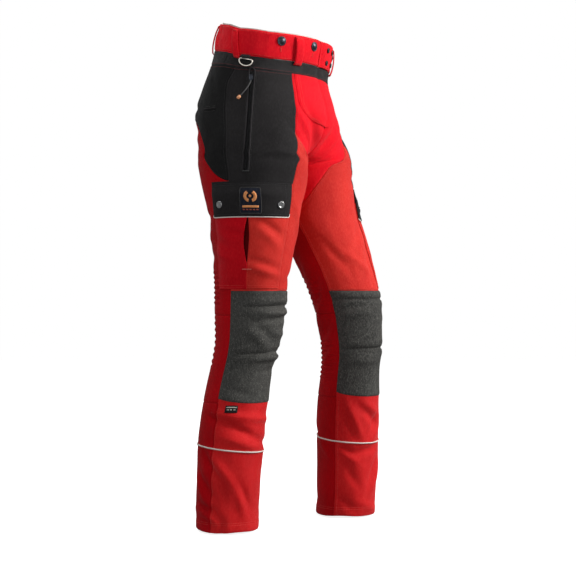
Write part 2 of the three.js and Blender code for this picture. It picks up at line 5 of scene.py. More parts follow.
import bmesh
import bpy
import numpy as np
from mathutils import Matrix, Vector
from mathutils.bvhtree import BVHTree


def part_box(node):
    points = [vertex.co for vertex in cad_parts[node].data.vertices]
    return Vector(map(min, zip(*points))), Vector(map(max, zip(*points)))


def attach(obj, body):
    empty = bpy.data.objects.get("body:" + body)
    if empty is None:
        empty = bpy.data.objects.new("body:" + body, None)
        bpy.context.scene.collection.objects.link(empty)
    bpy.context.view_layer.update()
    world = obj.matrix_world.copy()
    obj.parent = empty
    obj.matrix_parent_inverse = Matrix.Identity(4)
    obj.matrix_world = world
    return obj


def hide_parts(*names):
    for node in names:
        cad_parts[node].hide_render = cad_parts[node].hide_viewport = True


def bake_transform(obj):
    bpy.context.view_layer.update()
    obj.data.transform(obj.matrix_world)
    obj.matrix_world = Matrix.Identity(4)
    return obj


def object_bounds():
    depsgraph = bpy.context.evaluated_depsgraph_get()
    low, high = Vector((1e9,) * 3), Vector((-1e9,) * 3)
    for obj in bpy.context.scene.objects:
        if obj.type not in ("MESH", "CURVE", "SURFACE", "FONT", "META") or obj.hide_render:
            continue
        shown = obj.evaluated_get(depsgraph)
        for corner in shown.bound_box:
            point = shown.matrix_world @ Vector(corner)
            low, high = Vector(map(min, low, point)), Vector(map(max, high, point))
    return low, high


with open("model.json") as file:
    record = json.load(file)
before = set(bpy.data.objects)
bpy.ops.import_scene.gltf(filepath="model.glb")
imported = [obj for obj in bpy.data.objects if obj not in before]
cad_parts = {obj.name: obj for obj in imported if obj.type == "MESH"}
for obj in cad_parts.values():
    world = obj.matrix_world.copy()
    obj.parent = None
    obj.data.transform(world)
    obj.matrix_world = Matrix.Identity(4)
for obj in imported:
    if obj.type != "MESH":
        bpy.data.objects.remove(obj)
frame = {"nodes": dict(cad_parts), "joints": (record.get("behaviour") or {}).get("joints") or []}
cad_low, cad_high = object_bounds()
nodes = frame["nodes"]
SIDES = {"right": -1.0, "left": 1.0}

# ---- Camera, floor and light --------------------------------------------------------------------------
# A level camera three metres off the wearer's right front, a white studio floor and backdrop, and soft
# boxes: a big key over the front, a fill at the outside of the leg and a top light.
VIEW_TURN = math.radians(-65)
CAMERA_REACH = 3.0
LENS_MM, FULL_FRAME_MM = 86.8, 36
AIM = Vector((0.0096, -0.0206, -0.532))
towards_camera = Vector((math.sin(VIEW_TURN), -math.cos(VIEW_TURN), 0))
camera_data = bpy.data.cameras.new("camera")
camera_data.lens = LENS_MM
camera_data.sensor_width = FULL_FRAME_MM
camera = bpy.data.objects.new("camera", camera_data)
camera.location = AIM + towards_camera * CAMERA_REACH
camera.rotation_euler = towards_camera.to_track_quat("Z", "Y").to_euler()
bpy.context.scene.collection.objects.link(camera)
bpy.context.scene.camera = camera


def soft_box(name, place, size, power, shade):
    light = bpy.data.lights.new(name, "AREA")
    light.energy = power
    light.size = size
    light.color = shade
    lamp = bpy.data.objects.new(name, light)
    lamp.location = Vector(place)
    lamp.rotation_euler = (Vector(place) - AIM).to_track_quat("Z", "Y").to_euler()
    bpy.context.scene.collection.objects.link(lamp)


soft_box("key", (0.9, -2.7, 1.0), 1.3, 138, (1, 0.985, 0.97))
soft_box("fill", (-3.0, -0.6, 0.3), 2.0, 20, (0.97, 0.98, 1))
soft_box("back", (1.6, 2.4, 0.9), 2.0, 16, (1, 1, 1))
soft_box("top", (-0.3, 0.2, 2.2), 1.6, 30, (1, 1, 1))
world = bpy.data.worlds.new("studio")
world.use_nodes = True
world.node_tree.nodes["Background"].inputs["Color"].default_value = (0.93, 0.94, 0.95, 1)
world.node_tree.nodes["Background"].inputs["Strength"].default_value = 0.30
bpy.context.scene.world = world
bpy.context.scene.view_settings.view_transform = "Standard"

FLOOR_Z = cad_low.z - 0.004


def studio_white(name, shade, glow):
    """Pale painted studio board that gives a little of its own light back."""
    board = bpy.data.materials.new(name)
    board.use_nodes = True
    shader = board.node_tree.nodes["Principled BSDF"]
    for socket, value in {"Base Color": (shade, shade, shade, 1), "Roughness": 0.9, "Specular IOR Level": 0.1,
                          "Emission Color": (1, 1, 1, 1), "Emission Strength": glow}.items():
        shader.inputs[socket].default_value = value
    return board


def studio_piece(name, bm, material):
    """Part of the studio: seen by the camera, and no light on the object."""
    piece = bpy.data.objects.new(name, bpy.data.meshes.new(name))
    bm.to_mesh(piece.data)
    bm.free()
    piece.data.materials.append(material)
    piece.visible_diffuse = piece.visible_glossy = False
    bpy.context.scene.collection.objects.link(piece)
    return piece


floor_mesh = bmesh.new()
bmesh.ops.create_circle(floor_mesh, cap_ends=True, segments=96, radius=7.0)
bmesh.ops.translate(floor_mesh, vec=(0, 0, FLOOR_Z), verts=floor_mesh.verts)
studio_piece("floor", floor_mesh, studio_white("pale_floor", 0.6, 0.86))
wall_mesh = bmesh.new()
bmesh.ops.create_uvsphere(wall_mesh, u_segments=64, v_segments=32, radius=7.0)
bmesh.ops.reverse_faces(wall_mesh, faces=wall_mesh.faces)
wall = studio_piece("backdrop", wall_mesh, studio_white("pale_backdrop", 0.0, 1.0))
wall.visible_shadow = False

# ---- The garment's skin -------------------------------------------------------------------------------
# The outer faces of the CAD shells are read into one smooth sheet per side, wrapped round that leg and
# hip: share u runs from the inside seam (or front middle) round the front, outside and back to the same
# seam (or back middle), and level z runs down from the waist opening.
SHELLS = ("front_hip", "side_panel", "seat", "thigh_front", "thigh_back", "knee_patch", "knee_back",
          "shin_front", "calf_back")
TOP_Z = 0.006
CROTCH_Z = -0.27
HEM_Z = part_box("shin_front_right")[0].z
LEVELS = np.linspace(TOP_Z, HEM_Z, 212)
SHARES = np.linspace(0.0, 1.0, 145)


def points_of(*names):
    """Every vertex of these CAD nodes."""
    return np.array([v.co for n in names for v in nodes[n].data.vertices], float)


def smooth(values, passes, axis):
    """A few passes of a one-two-one filter along an axis, with its ends held."""
    for _ in range(passes):
        before = np.roll(values, 1, axis)
        after = np.roll(values, -1, axis)
        first = [slice(None)] * values.ndim
        last = [slice(None)] * values.ndim
        first[axis], last[axis] = 0, -1
        before[tuple(first)] = values[tuple(first)]
        after[tuple(last)] = values[tuple(last)]
        values = (before + 2 * values + after) / 4
    return values


def ease(t):
    t = np.clip(t, 0, 1)
    return t * t * (3 - 2 * t)


def fade(z):
    """How far the waist's slope reaches down: all of it at the band, none below the hips."""
    return ease((z + 0.2) / 0.18)


band_points = points_of("waistband")
band_turn = np.abs(np.arctan2(band_points[:, 0], -band_points[:, 1])) / math.pi
band_bins = np.linspace(0, 1, 17)
band_top = [band_points[np.abs(band_turn - b) < 0.05][:, 2].max() for b in band_bins]


def waist_lift(x, y):
    """How far the band's top edge lies above the origin, at that place round the waist."""
    return np.interp(np.abs(np.arctan2(x, -(y - 0.01))) / math.pi, band_bins, band_top)


def level_of(points):
    """The level z that each point would have on a level waist."""
    level = points[:, 2].copy()
    for _ in range(6):
        level = points[:, 2] - waist_lift(points[:, 0], points[:, 1]) * fade(level)
    return level


class Skin:
    """One side's smooth sheet, read from the CAD shells by rays cast in from outside."""

    def __init__(self, side):
        self.sign = SIDES[side]
        shells = [f"{name}_{side}" for name in SHELLS]
        cloud = points_of(*shells)
        self.tree = self.side_tree(shells)
        middles = []
        for z in LEVELS:
            near = cloud[np.abs(cloud[:, 2] - min(z, -0.09)) < 0.024]
            low, high = near.min(0), near.max(0)
            across = abs(low[0]) + abs(high[0]) if z < CROTCH_Z else max(abs(low[0]), abs(high[0]))
            middles.append([across / 2, (low[1] + high[1]) / 2])
        self.middle = smooth(np.array(middles), 10, 0)
        self.angles = self.swept(self.seam_line(side, -1), self.seam_line(side, 1))
        self.radii = self.cast()
        self.place = self.rebuild()
        self.normal = self.normals()
        steps = np.linalg.norm(np.diff(self.place, axis=1), axis=2)
        self.girth = steps.sum(1)

    def seam_line(self, side, way):
        """Depth of the middle seam at each level, in front (way -1) or behind (way 1)."""
        names = [f"front_hip_{side}"] if way < 0 else [f"seat_{side}", f"thigh_back_{side}"]
        cloud = points_of(*names, "yoke", "waistband")
        cloud = cloud[(np.abs(cloud[:, 0]) < 0.018) & (cloud[:, 1] * way > 0)]
        level = level_of(cloud)
        rows = {}
        for z, y in zip(level, cloud[:, 1]):
            if z > CROTCH_Z + 0.012:
                key = round(float(z) / 0.006)
                rows[key] = max(rows.get(key, -1), y * way)
        known = sorted((key * 0.006, depth * way) for key, depth in rows.items())
        known.insert(0, (CROTCH_Z, -0.004))
        return smooth(np.interp(LEVELS, [k[0] for k in known], [k[1] for k in known]), 3, 0)

    def swept(self, fronts, backs):
        """Each level's first and last angle: the full turn below the crotch, seam to seam above it."""
        x, y = self.middle[:, 0], self.middle[:, 1]
        share = ease((LEVELS - CROTCH_Z) / 0.02 + 0.2)
        first = np.arctan2(-(fronts - y), x) * share
        last = 2 * math.pi + np.arctan2(-(backs - y), x) * share
        return np.stack([first, last], 1)

    def side_tree(self, shells):
        verts, faces = [], []
        for name in [*shells, "yoke", "waistband"]:
            mesh = nodes[name].data
            start = len(verts)
            verts += [v.co.copy() for v in mesh.vertices]
            whole = name not in ("yoke", "waistband")
            kept = [p for p in mesh.polygons if whole or p.center.x * self.sign > -0.03]
            faces += [[start + i for i in p.vertices] for p in kept]
        return BVHTree.FromPolygons(verts, faces)

    def cast(self):
        radii = np.full((len(LEVELS), len(SHARES)), np.nan)
        reach = 0.4
        for i, z in enumerate(LEVELS):
            ox, oy = self.middle[i][0] * self.sign, self.middle[i][1]
            first, last = self.angles[i]
            for j, share in enumerate(SHARES):
                angle = first + (last - first) * min(max(share, 0.012), 0.988)
                dx, dy = -math.cos(angle) * self.sign, -math.sin(angle)
                lift = float(waist_lift(ox + dx * 0.15, oy + dy * 0.15) * fade(z))
                found = []
                for dz in (-0.004, 0, 0.004):
                    start = Vector((ox + dx * reach, oy + dy * reach, min(z, -0.005) + lift + dz))
                    hit = self.tree.ray_cast(start, Vector((-dx, -dy, 0)), reach)
                    if hit[0] is not None and hit[0].x * self.sign > -0.002:
                        found.append(reach - hit[3])
                if found:
                    radii[i, j] = max(found)
            row = radii[i]
            good = ~np.isnan(row)
            radii[i] = np.interp(SHARES, SHARES[good], row[good])
        return smooth(smooth(radii, 3, 0), 6, 1)

    def rebuild(self):
        place = np.zeros((len(LEVELS), len(SHARES), 3))
        for i, z in enumerate(LEVELS):
            first, last = self.angles[i]
            angle = first + (last - first) * SHARES
            x = (self.middle[i][0] - np.cos(angle) * self.radii[i]) * self.sign
            y = self.middle[i][1] - np.sin(angle) * self.radii[i]
            place[i, :, 0], place[i, :, 1] = x, y
            place[i, :, 2] = z + waist_lift(x, y) * fade(z)
        above = LEVELS > CROTCH_Z
        for column in (0, -1):
            place[above, column, 0] = 0.0
        return place

    def normals(self):
        down = np.gradient(self.place, axis=0)
        along = np.gradient(self.place, axis=1)
        legs = LEVELS < CROTCH_Z
        joined = self.place[legs, 1] - self.place[legs, -2]
        along[legs, 0] = along[legs, -1] = joined / 2
        above = LEVELS >= CROTCH_Z
        for column in (0, -1):
            along[above, column, 1] = 0
        out = np.cross(along, down) * -self.sign
        return out / np.linalg.norm(out, axis=2, keepdims=True)

    def sample(self, table, u, z):
        """Cubic interpolation of a table at shares u and levels z."""
        u, z = np.broadcast_arrays(np.asarray(u, float), np.asarray(z, float))
        row = np.clip((z - LEVELS[0]) / (LEVELS[1] - LEVELS[0]), 0, len(LEVELS) - 1.001)
        column = np.clip(u, 0, 1) * (len(SHARES) - 1.001)
        out = 0.0
        for di, wi in self.weights(row):
            i = np.clip(np.floor(row).astype(int) + di, 0, len(LEVELS) - 1)
            for dj, wj in self.weights(column):
                j = np.clip(np.floor(column).astype(int) + dj, 0, len(SHARES) - 1)
                out = out + (wi * wj)[..., None] * table[i, j]
        return out

    @staticmethod
    def weights(x):
        t = x - np.floor(x)
        return [(-1, -0.5 * t + t**2 - 0.5 * t**3), (0, 1 - 2.5 * t**2 + 1.5 * t**3),
                (1, 0.5 * t + 2 * t**2 - 1.5 * t**3), (2, -0.5 * t**2 + 0.5 * t**3)]

    def out_at(self, u, z):
        out = self.sample(self.normal, u, z)
        return out / np.linalg.norm(out, axis=-1, keepdims=True)

    def around(self, z):
        """Girth of this side's cloth at a level."""
        return np.interp(-np.asarray(z, float), -LEVELS, self.girth)

    def share_of(self, points):
        """(share, level) of points near the skin."""
        level = level_of(points)
        mx = np.interp(-level, -LEVELS, self.middle[:, 0])
        my = np.interp(-level, -LEVELS, self.middle[:, 1])
        first = np.interp(-level, -LEVELS, self.angles[:, 0])
        last = np.interp(-level, -LEVELS, self.angles[:, 1])
        angle = np.arctan2(-(points[:, 1] - my), mx - points[:, 0] * self.sign)
        angle = np.where(angle < first - 0.35, angle + 2 * math.pi, angle)
        return (angle - first) / (last - first), level
    def at(self, u, z, lift=0.0):
        """Points on the cloth at shares u and levels z, raised by lift, folds included."""
        u, z = np.broadcast_arrays(np.asarray(u, float), np.asarray(z, float))
        raised = self.folds(u, z) + np.asarray(lift)
        return self.sample(self.place, u, z) + self.out_at(u, z) * raised[..., None]

    def folds(self, u, z):
        """Height of the folds: soft ridges and valleys along short lines, and the elastic behind the knee."""
        girth = self.around(z)
        height = np.zeros(u.shape)
        for u0, z0, u1, z1, width, rise in FOLDS[self.sign]:
            turn = (u - u0 + 0.5) % 1.0 - 0.5 if z0 < CROTCH_Z else u - u0
            px, pz = turn * girth, z - z0
            lx, lz = (u1 - u0) * girth, z1 - z0
            length = np.sqrt(lx * lx + lz * lz)
            along = np.clip((px * lx + pz * lz) / (length * length), 0, 1)
            across = (px * lz - pz * lx) / length
            past = np.hypot(px - along * lx, pz - along * lz)
            near = np.sqrt(np.maximum(past**2 - across**2, 0))
            core = np.exp(-(across / width) ** 2 - (near / (1.6 * width)) ** 2)
            skirt = np.exp(-(across / (2.4 * width)) ** 2 - (near / (2.2 * width)) ** 2)
            taper = 0.35 + 0.65 * np.sin(math.pi * np.clip(along, 0.02, 0.98)) ** 0.6
            height += FOLD_STRENGTH * rise * taper * (core - 0.32 * skirt)
        for u0, u1, z0, z1, pitch, rise in SHIRRED[self.sign]:
            window = ease((u - u0) / 0.05) * ease((u1 - u) / 0.05)
            window = window * ease((z0 - z) / 0.012) * ease((z - z1) / 0.012)
            height += rise * window * np.sin(2 * math.pi * (z / pitch + 0.6 * np.sin(9 * u)))
        calm = ease((-0.1 - z) / 0.12)
        slow = np.sin(31 * u + 17 * z + self.sign) * np.sin(23 * z - 14 * u) + 0.6 * np.sin(47 * z + 25 * u)
        return height + 0.0007 * calm * slow


FOLD_STRENGTH = 1.35
# Folds as (share, level) at their two ends, then half width and height; a valley has a height below 0.
RIGHT_FOLDS = (
    (0.56, -0.795, 0.44, -0.812, 0.008, -0.0042), (0.44, -0.812, 0.30, -0.838, 0.009, -0.0052),
    (0.52, -0.788, 0.30, -0.800, 0.009, 0.0038), (0.50, -0.832, 0.28, -0.862, 0.010, 0.0036),
    (0.56, -0.872, 0.47, -0.925, 0.008, -0.0046), (0.47, -0.925, 0.44, -0.965, 0.010, -0.0034),
    (0.53, -0.868, 0.41, -0.930, 0.010, 0.0040), (0.62, -0.905, 0.49, -0.962, 0.009, -0.0040),
    (0.62, -0.925, 0.50, -0.990, 0.009, 0.0034), (0.61, -0.975, 0.50, -0.984, 0.007, -0.0044),
    (0.50, -0.984, 0.45, -1.012, 0.007, -0.0048), (0.45, -1.012, 0.46, -1.040, 0.007, -0.0040),
    (0.57, -0.992, 0.47, -1.008, 0.008, 0.0044), (0.31, -0.975, 0.36, -0.935, 0.008, -0.0032),
    (0.33, -1.0, 0.38, -0.95, 0.009, 0.0030), (0.18, -0.805, 0.30, -0.800, 0.008, 0.0030),
    (0.10, -0.86, 0.26, -0.845, 0.009, -0.0036), (0.85, -0.83, 0.98, -0.86, 0.010, -0.0040),
    (0.72, -0.80, 0.88, -0.83, 0.010, 0.0032), (0.80, -0.92, 0.95, -0.97, 0.011, -0.0036),
    (0.05, -0.93, 0.16, -0.98, 0.010, -0.0030), (0.70, -0.99, 0.85, -1.02, 0.009, 0.0032),
    (0.34, -0.570, 0.20, -0.566, 0.006, -0.0042), (0.36, -0.584, 0.20, -0.583, 0.007, 0.0040),
    (0.38, -0.600, 0.18, -0.592, 0.006, -0.0036), (0.40, -0.604, 0.28, -0.640, 0.010, -0.0028),
    (0.42, -0.620, 0.30, -0.662, 0.010, 0.0028), (0.30, -0.625, 0.19, -0.628, 0.008, 0.0032),
    (0.30, -0.662, 0.18, -0.660, 0.006, -0.0042), (0.36, -0.676, 0.18, -0.672, 0.008, 0.0052),
    (0.32, -0.704, 0.18, -0.700, 0.008, -0.0030), (0.46, -0.74, 0.34, -0.752, 0.009, -0.0018),
    (0.52, -0.415, 0.45, -0.425, 0.008, -0.0022), (0.41, -0.395, 0.33, -0.425, 0.009, -0.0030),
    (0.41, -0.41, 0.34, -0.445, 0.010, 0.0026), (0.43, -0.475, 0.33, -0.492, 0.009, -0.0032),
    (0.42, -0.492, 0.32, -0.505, 0.009, 0.0028), (0.60, -0.425, 0.50, -0.455, 0.010, -0.0022),
    (0.60, -0.455, 0.52, -0.475, 0.010, 0.0020), (0.66, -0.385, 0.76, -0.395, 0.010, -0.0040),
    (0.68, -0.425, 0.82, -0.445, 0.014, 0.0060), (0.66, -0.468, 0.82, -0.490, 0.011, -0.0050),
    (0.80, -0.37, 0.95, -0.40, 0.012, -0.0050), (0.78, -0.345, 0.95, -0.355, 0.013, 0.0045),
    (0.84, -0.30, 0.97, -0.315, 0.010, -0.0055), (0.84, -0.44, 0.98, -0.47, 0.012, -0.0040),
    (0.14, -0.30, 0.06, -0.375, 0.010, -0.0036), (0.20, -0.30, 0.10, -0.385, 0.011, 0.0034),
    (0.20, -0.345, 0.12, -0.40, 0.010, -0.0030), (0.27, -0.36, 0.18, -0.43, 0.011, 0.0028),
    (0.03, -0.42, 0.14, -0.48, 0.011, -0.0034), (0.14, -0.50, 0.24, -0.52, 0.010, -0.0028),
    (0.10, -0.16, 0.02, -0.235, 0.010, -0.0034), (0.15, -0.17, 0.05, -0.245, 0.011, 0.0034),
    (0.20, -0.20, 0.08, -0.28, 0.010, -0.0030), (0.76, -0.165, 0.88, -0.15, 0.007, -0.0030),
    (0.74, -0.215, 0.90, -0.235, 0.012, 0.0030), (0.58, -0.13, 0.66, -0.10, 0.010, -0.0018),
    (0.56, -0.24, 0.64, -0.19, 0.010, -0.0020))
LEFT_FOLDS = (
    (0.03, -0.79, 0.09, -0.845, 0.009, -0.0044), (0.06, -0.785, 0.13, -0.850, 0.010, 0.0034),
    (0.13, -0.79, 0.24, -0.83, 0.010, -0.0034), (0.16, -0.785, 0.27, -0.81, 0.010, 0.0030),
    (0.26, -0.80, 0.20, -0.845, 0.009, -0.0036), (0.28, -0.835, 0.20, -0.865, 0.010, 0.0030),
    (0.02, -0.870, 0.08, -0.892, 0.008, -0.0044), (0.08, -0.892, 0.22, -0.882, 0.009, -0.0036),
    (0.04, -0.885, 0.12, -0.915, 0.010, 0.0034), (0.06, -0.925, 0.12, -0.96, 0.010, -0.0032),
    (0.26, -0.90, 0.20, -0.955, 0.010, -0.0036), (0.29, -0.925, 0.22, -0.98, 0.011, 0.0030),
    (0.02, -0.985, 0.10, -1.015, 0.009, -0.0030), (0.14, -1.0, 0.26, -1.02, 0.010, 0.0024),
    (0.45, -0.80, 0.60, -0.84, 0.012, -0.0044), (0.42, -0.90, 0.58, -0.95, 0.012, 0.0036),
    (0.70, -0.82, 0.86, -0.86, 0.011, -0.0040), (0.66, -0.94, 0.80, -0.99, 0.011, -0.0036),
    (0.88, -0.86, 0.97, -0.90, 0.010, 0.0030), (0.40, -1.0, 0.55, -1.02, 0.010, 0.0030),
    (0.05, -0.575, 0.20, -0.560, 0.008, -0.0026), (0.06, -0.592, 0.20, -0.582, 0.009, 0.0026),
    (0.08, -0.672, 0.24, -0.668, 0.008, -0.0028), (0.08, -0.690, 0.24, -0.688, 0.009, 0.0026),
    (0.34, -0.60, 0.46, -0.62, 0.010, 0.0030), (0.33, -0.66, 0.47, -0.68, 0.010, -0.0034),
    (0.27, -0.30, 0.36, -0.27, 0.010, -0.0030), (0.10, -0.30, 0.03, -0.36, 0.010, -0.0026),
    (0.26, -0.40, 0.20, -0.44, 0.010, -0.0024), (0.28, -0.42, 0.20, -0.47, 0.011, 0.0026),
    (0.06, -0.43, 0.12, -0.49, 0.011, -0.0022), (0.14, -0.46, 0.24, -0.50, 0.011, 0.0024),
    (0.27, -0.46, 0.24, -0.53, 0.010, -0.0030), (0.42, -0.42, 0.55, -0.45, 0.011, -0.0024),
    (0.42, -0.48, 0.55, -0.50, 0.011, 0.0026), (0.95, -0.40, 0.88, -0.48, 0.012, 0.0036),
    (0.92, -0.44, 0.84, -0.52, 0.011, -0.0040), (0.97, -0.50, 0.90, -0.57, 0.011, -0.0036),
    (0.93, -0.56, 0.84, -0.62, 0.012, 0.0036), (0.80, -0.36, 0.94, -0.33, 0.012, -0.0050),
    (0.78, -0.40, 0.93, -0.38, 0.013, 0.0050), (0.66, -0.42, 0.80, -0.46, 0.012, -0.0040),
    (0.97, -0.60, 0.89, -0.64, 0.010, -0.0036), (0.97, -0.66, 0.90, -0.69, 0.009, 0.0030),
    (0.10, -0.16, 0.02, -0.235, 0.010, -0.0034), (0.15, -0.17, 0.05, -0.245, 0.011, 0.0034),
    (0.20, -0.20, 0.08, -0.28, 0.010, -0.0030), (0.76, -0.165, 0.88, -0.15, 0.007, -0.0030),
    (0.74, -0.215, 0.90, -0.235, 0.012, 0.0030), (0.56, -0.24, 0.64, -0.19, 0.010, -0.0020))
FOLDS = {SIDES["right"]: RIGHT_FOLDS, SIDES["left"]: LEFT_FOLDS}
# Elastic behind the knees: share and level limits, pitch of the ripples, rise.
SHIRRED = {
    SIDES["right"]: ((0.57, 0.98, -0.492, -0.575, 0.0105, 0.0016),
                     (0.60, 0.97, -0.590, -0.700, 0.013, 0.0013)),
    SIDES["left"]: ((0.57, 0.98, -0.500, -0.575, 0.012, 0.0012),
                    (0.60, 0.99, -0.640, -0.735, 0.0105, 0.0017))}
skins = {side: Skin(side) for side in SIDES}


# ---- Cutting cloth ------------------------------------------------------------------------------------
# Every cloth piece is cut as a square grid, laid on the skin between its own borders and given its own
# thickness inwards. Rows crowd at the edges, where the cloth is tucked down into its seam.
CLOTH = 0.0018
CELL = 0.0038
TUCK = 0.0011


def crowded(length, cell=None):
    """Places along a length, an even cell apart and closer at both ends."""
    count = max(4, round(length / (cell or CELL)))
    edge = np.array([0, 0.0007, 0.0018, 0.0034])
    inner = np.linspace(0.0034, length - 0.0034, count + 1)[1:-1]
    return np.concatenate([edge, inner, length - edge[::-1]]) / length


def new_piece(name, bm, material):
    """A finished mesh as an object at the origin."""
    mesh = bpy.data.meshes.new(name)
    bm.to_mesh(mesh)
    bm.free()
    for polygon in mesh.polygons:
        polygon.use_smooth = True
    mesh.materials.append(material)
    piece = bpy.data.objects.new(name, mesh)
    bpy.context.scene.collection.objects.link(piece)
    return piece


def seated(piece, body, *replaced):
    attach(piece, body)
    if replaced:
        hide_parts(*replaced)
    return piece


def edge_of(node, side, which):
    """A border of a CAD cloth piece, where its share is least (0) or greatest (1), as share by level."""
    points = points_of(node)
    share, level = skins[side].share_of(points)
    share = np.where(share > 1.02, share - 1, share)
    reach = 0.0185
    picked = []
    for z in np.linspace(level.min() + reach, level.max() - reach, 24):
        near = np.where(np.abs(level - z) < reach)[0]
        if len(near):
            picked.append(near[np.argmax(share[near]) if which else np.argmin(share[near])])
    ends = [np.where(level < level.min() + 0.004)[0], np.where(level > level.max() - 0.004)[0]]
    picked += [group[np.argmax(share[group]) if which else np.argmin(share[group])] for group in ends]
    border = points[sorted(set(picked), key=lambda k: level[k])]
    fine = np.linspace(border[0, 2], border[-1, 2], 60)
    flat = [smooth(np.interp(fine, border[:, 2], border[:, k]), 5, 0) for k in (0, 1)]
    us, zs = skins[side].share_of(np.stack([*flat, fine], 1))
    us = np.where(us > 1.02, us - 1, us)
    return lambda z: np.interp(z, zs, us)


def constant(value):
    return lambda _: np.full(np.shape(_), float(value))


def lay(place, columns, rows, material, name, thickness=CLOTH, ring=False):
    """A cloth sheet whose point at shares (s, t) is place(s, t), with a UV map in metres."""
    bm = bmesh.new()
    nx, ny = len(columns) - 1, len(rows) - 1
    bmesh.ops.create_grid(bm, x_segments=nx, y_segments=ny, size=0.5)
    bm.verts.ensure_lookup_table()
    grid = np.array([v.co for v in bm.verts])
    i = np.rint((grid[:, 0] + 0.5) * nx).astype(int)
    j = np.rint((0.5 - grid[:, 1]) * ny).astype(int)
    points, uv = place(columns[i], rows[j])
    for vert, point in zip(bm.verts, points):
        vert.co = point
    layer = bm.loops.layers.uv.new("cloth")
    order = {vert: k for k, vert in enumerate(bm.verts)}
    for face in bm.faces:
        for loop in face.loops:
            loop[layer].uv = uv[order[loop.vert]]
    if ring:
        bmesh.ops.remove_doubles(bm, verts=bm.verts, dist=1e-5)
    bm.normal_update()
    outward = sum((f.normal.dot(outwards(f.calc_center_median())) for f in list(bm.faces)[::17]), 0.0)
    if outward < 0:
        bmesh.ops.reverse_faces(bm, faces=bm.faces)
    piece = new_piece(name, bm, material)
    wall = piece.modifiers.new("cloth", "SOLIDIFY")
    wall.thickness = thickness
    wall.offset = -1
    wall.use_even_offset = False
    return piece


def outwards(point):
    """Roughly which way is out of the garment at a point."""
    side = "right" if point.x < 0 else "left"
    skin = skins[side]
    mx = float(np.interp(-point.z, -LEVELS, skin.middle[:, 0])) * skin.sign
    my = float(np.interp(-point.z, -LEVELS, skin.middle[:, 1]))
    if point.z > -0.12:
        mx = 0.0
    return Vector((point.x - mx, point.y - my, 0)).normalized()


def panel(name, side, left, right, top, bottom, material, lift=None, tuck=TUCK, cell=None,
          thickness=CLOTH, gap=-0.0004):
    """A cloth piece between borders left(z) and right(z), from height top(p) to bottom(p) at shares p."""
    skin = skins[side]
    mid = float((top(np.array(0.5)) + bottom(np.array(0.5))) / 2)
    width = float(right(mid) - left(mid)) * float(skin.around(mid))
    height = float(np.max(top(np.linspace(0, 1, 9)) - bottom(np.linspace(0, 1, 9))))

    def place(s, t):
        high, low = top(s), bottom(s)
        z = high + (low - high) * t
        u = left(z) + (right(z) - left(z)) * s
        girth = skin.around(z)
        across = (right(z) - left(z)) * girth
        u = u + gap / girth * (1 - 2 * s)
        rim = np.minimum(np.minimum(s, 1 - s) * across, np.minimum(t, 1 - t) * (high - low))
        raised = -tuck * np.exp(-((rim / 0.0016) ** 2))
        if lift is not None:
            raised = raised + lift(s, t, u, z)
        return skin.at(u, z, raised), np.stack([u * girth, z], -1)

    piece = lay(place, crowded(width, cell), crowded(height, cell), material, name + "_cloth",
                thickness)
    s, t = np.meshgrid(np.linspace(0, 1, 25), np.linspace(0, 1, 25), indexing="ij")
    flat_points = cut_points(skin, left, right, top, bottom, s, t)
    declare_cut(flat_points)
    return piece


def cut_points(skin, left, right, top, bottom, s, t):
    """The cut piece before it is creased: the same borders on the smooth skin."""
    high, low = top(s), bottom(s)
    z = high + (low - high) * t
    return skin.sample(skin.place, left(z) + (right(z) - left(z)) * s, z)


def declare_cut(grid):
    across = np.linalg.norm(np.diff(grid, axis=0), axis=2).sum(0).max()
    down = np.linalg.norm(np.diff(grid, axis=1), axis=2).sum(1).max()
    a, b, c, d = grid[:-1, :-1], grid[1:, :-1], grid[1:, 1:], grid[:-1, 1:]
    area = np.linalg.norm(np.cross(c - a, d - b), axis=2).sum() / 2
    flat = (max(0.0101, float(across)), max(0.0101, float(down)))
    area = min(float(area), flat[0] * flat[1])


# ---- Finishes -----------------------------------------------------------------------------------------
# Every finish is a small set of nodes written as sums. Cloth reads the piece's own map in metres, so that
# its threads follow the cut; hard pieces read object coordinates.
class Tone:
    """A value in a finish, which adds and multiplies as a number does."""

    def __init__(self, finish, socket):
        self.finish = finish
        self.socket = socket

    def sum_of(self, how, other, swapped=False):
        pair = (other, self) if swapped else (self, other)
        return self.finish.make("ShaderNodeMath", {"operation": how}, {0: pair[0], 1: pair[1]})

    def __add__(self, other):
        return self.sum_of("ADD", other)

    def __radd__(self, other):
        return self.sum_of("ADD", other)

    def __sub__(self, other):
        return self.sum_of("SUBTRACT", other)

    def __rsub__(self, other):
        return self.sum_of("SUBTRACT", other, True)

    def __mul__(self, other):
        return self.sum_of("MULTIPLY", other)

    def __rmul__(self, other):
        return self.sum_of("MULTIPLY", other)

    def __gt__(self, other):
        return self.sum_of("GREATER_THAN", other)

    def wave(self, length):
        """A sine of this length, from -1 to 1."""
        return self.finish.make("ShaderNodeMath", {"operation": "SINE"}, {0: self * (2 * math.pi / length)})

    def size(self):
        return self.finish.make("ShaderNodeMath", {"operation": "ABSOLUTE"}, {0: self})

    def between(self, low, high):
        """0 below low and 1 above high, soft between."""
        limits = {0: self, 1: low, 2: high, 3: 0.0, 4: 1.0}
        return self.finish.make("ShaderNodeMapRange", {"interpolation_type": "SMOOTHSTEP"}, limits)


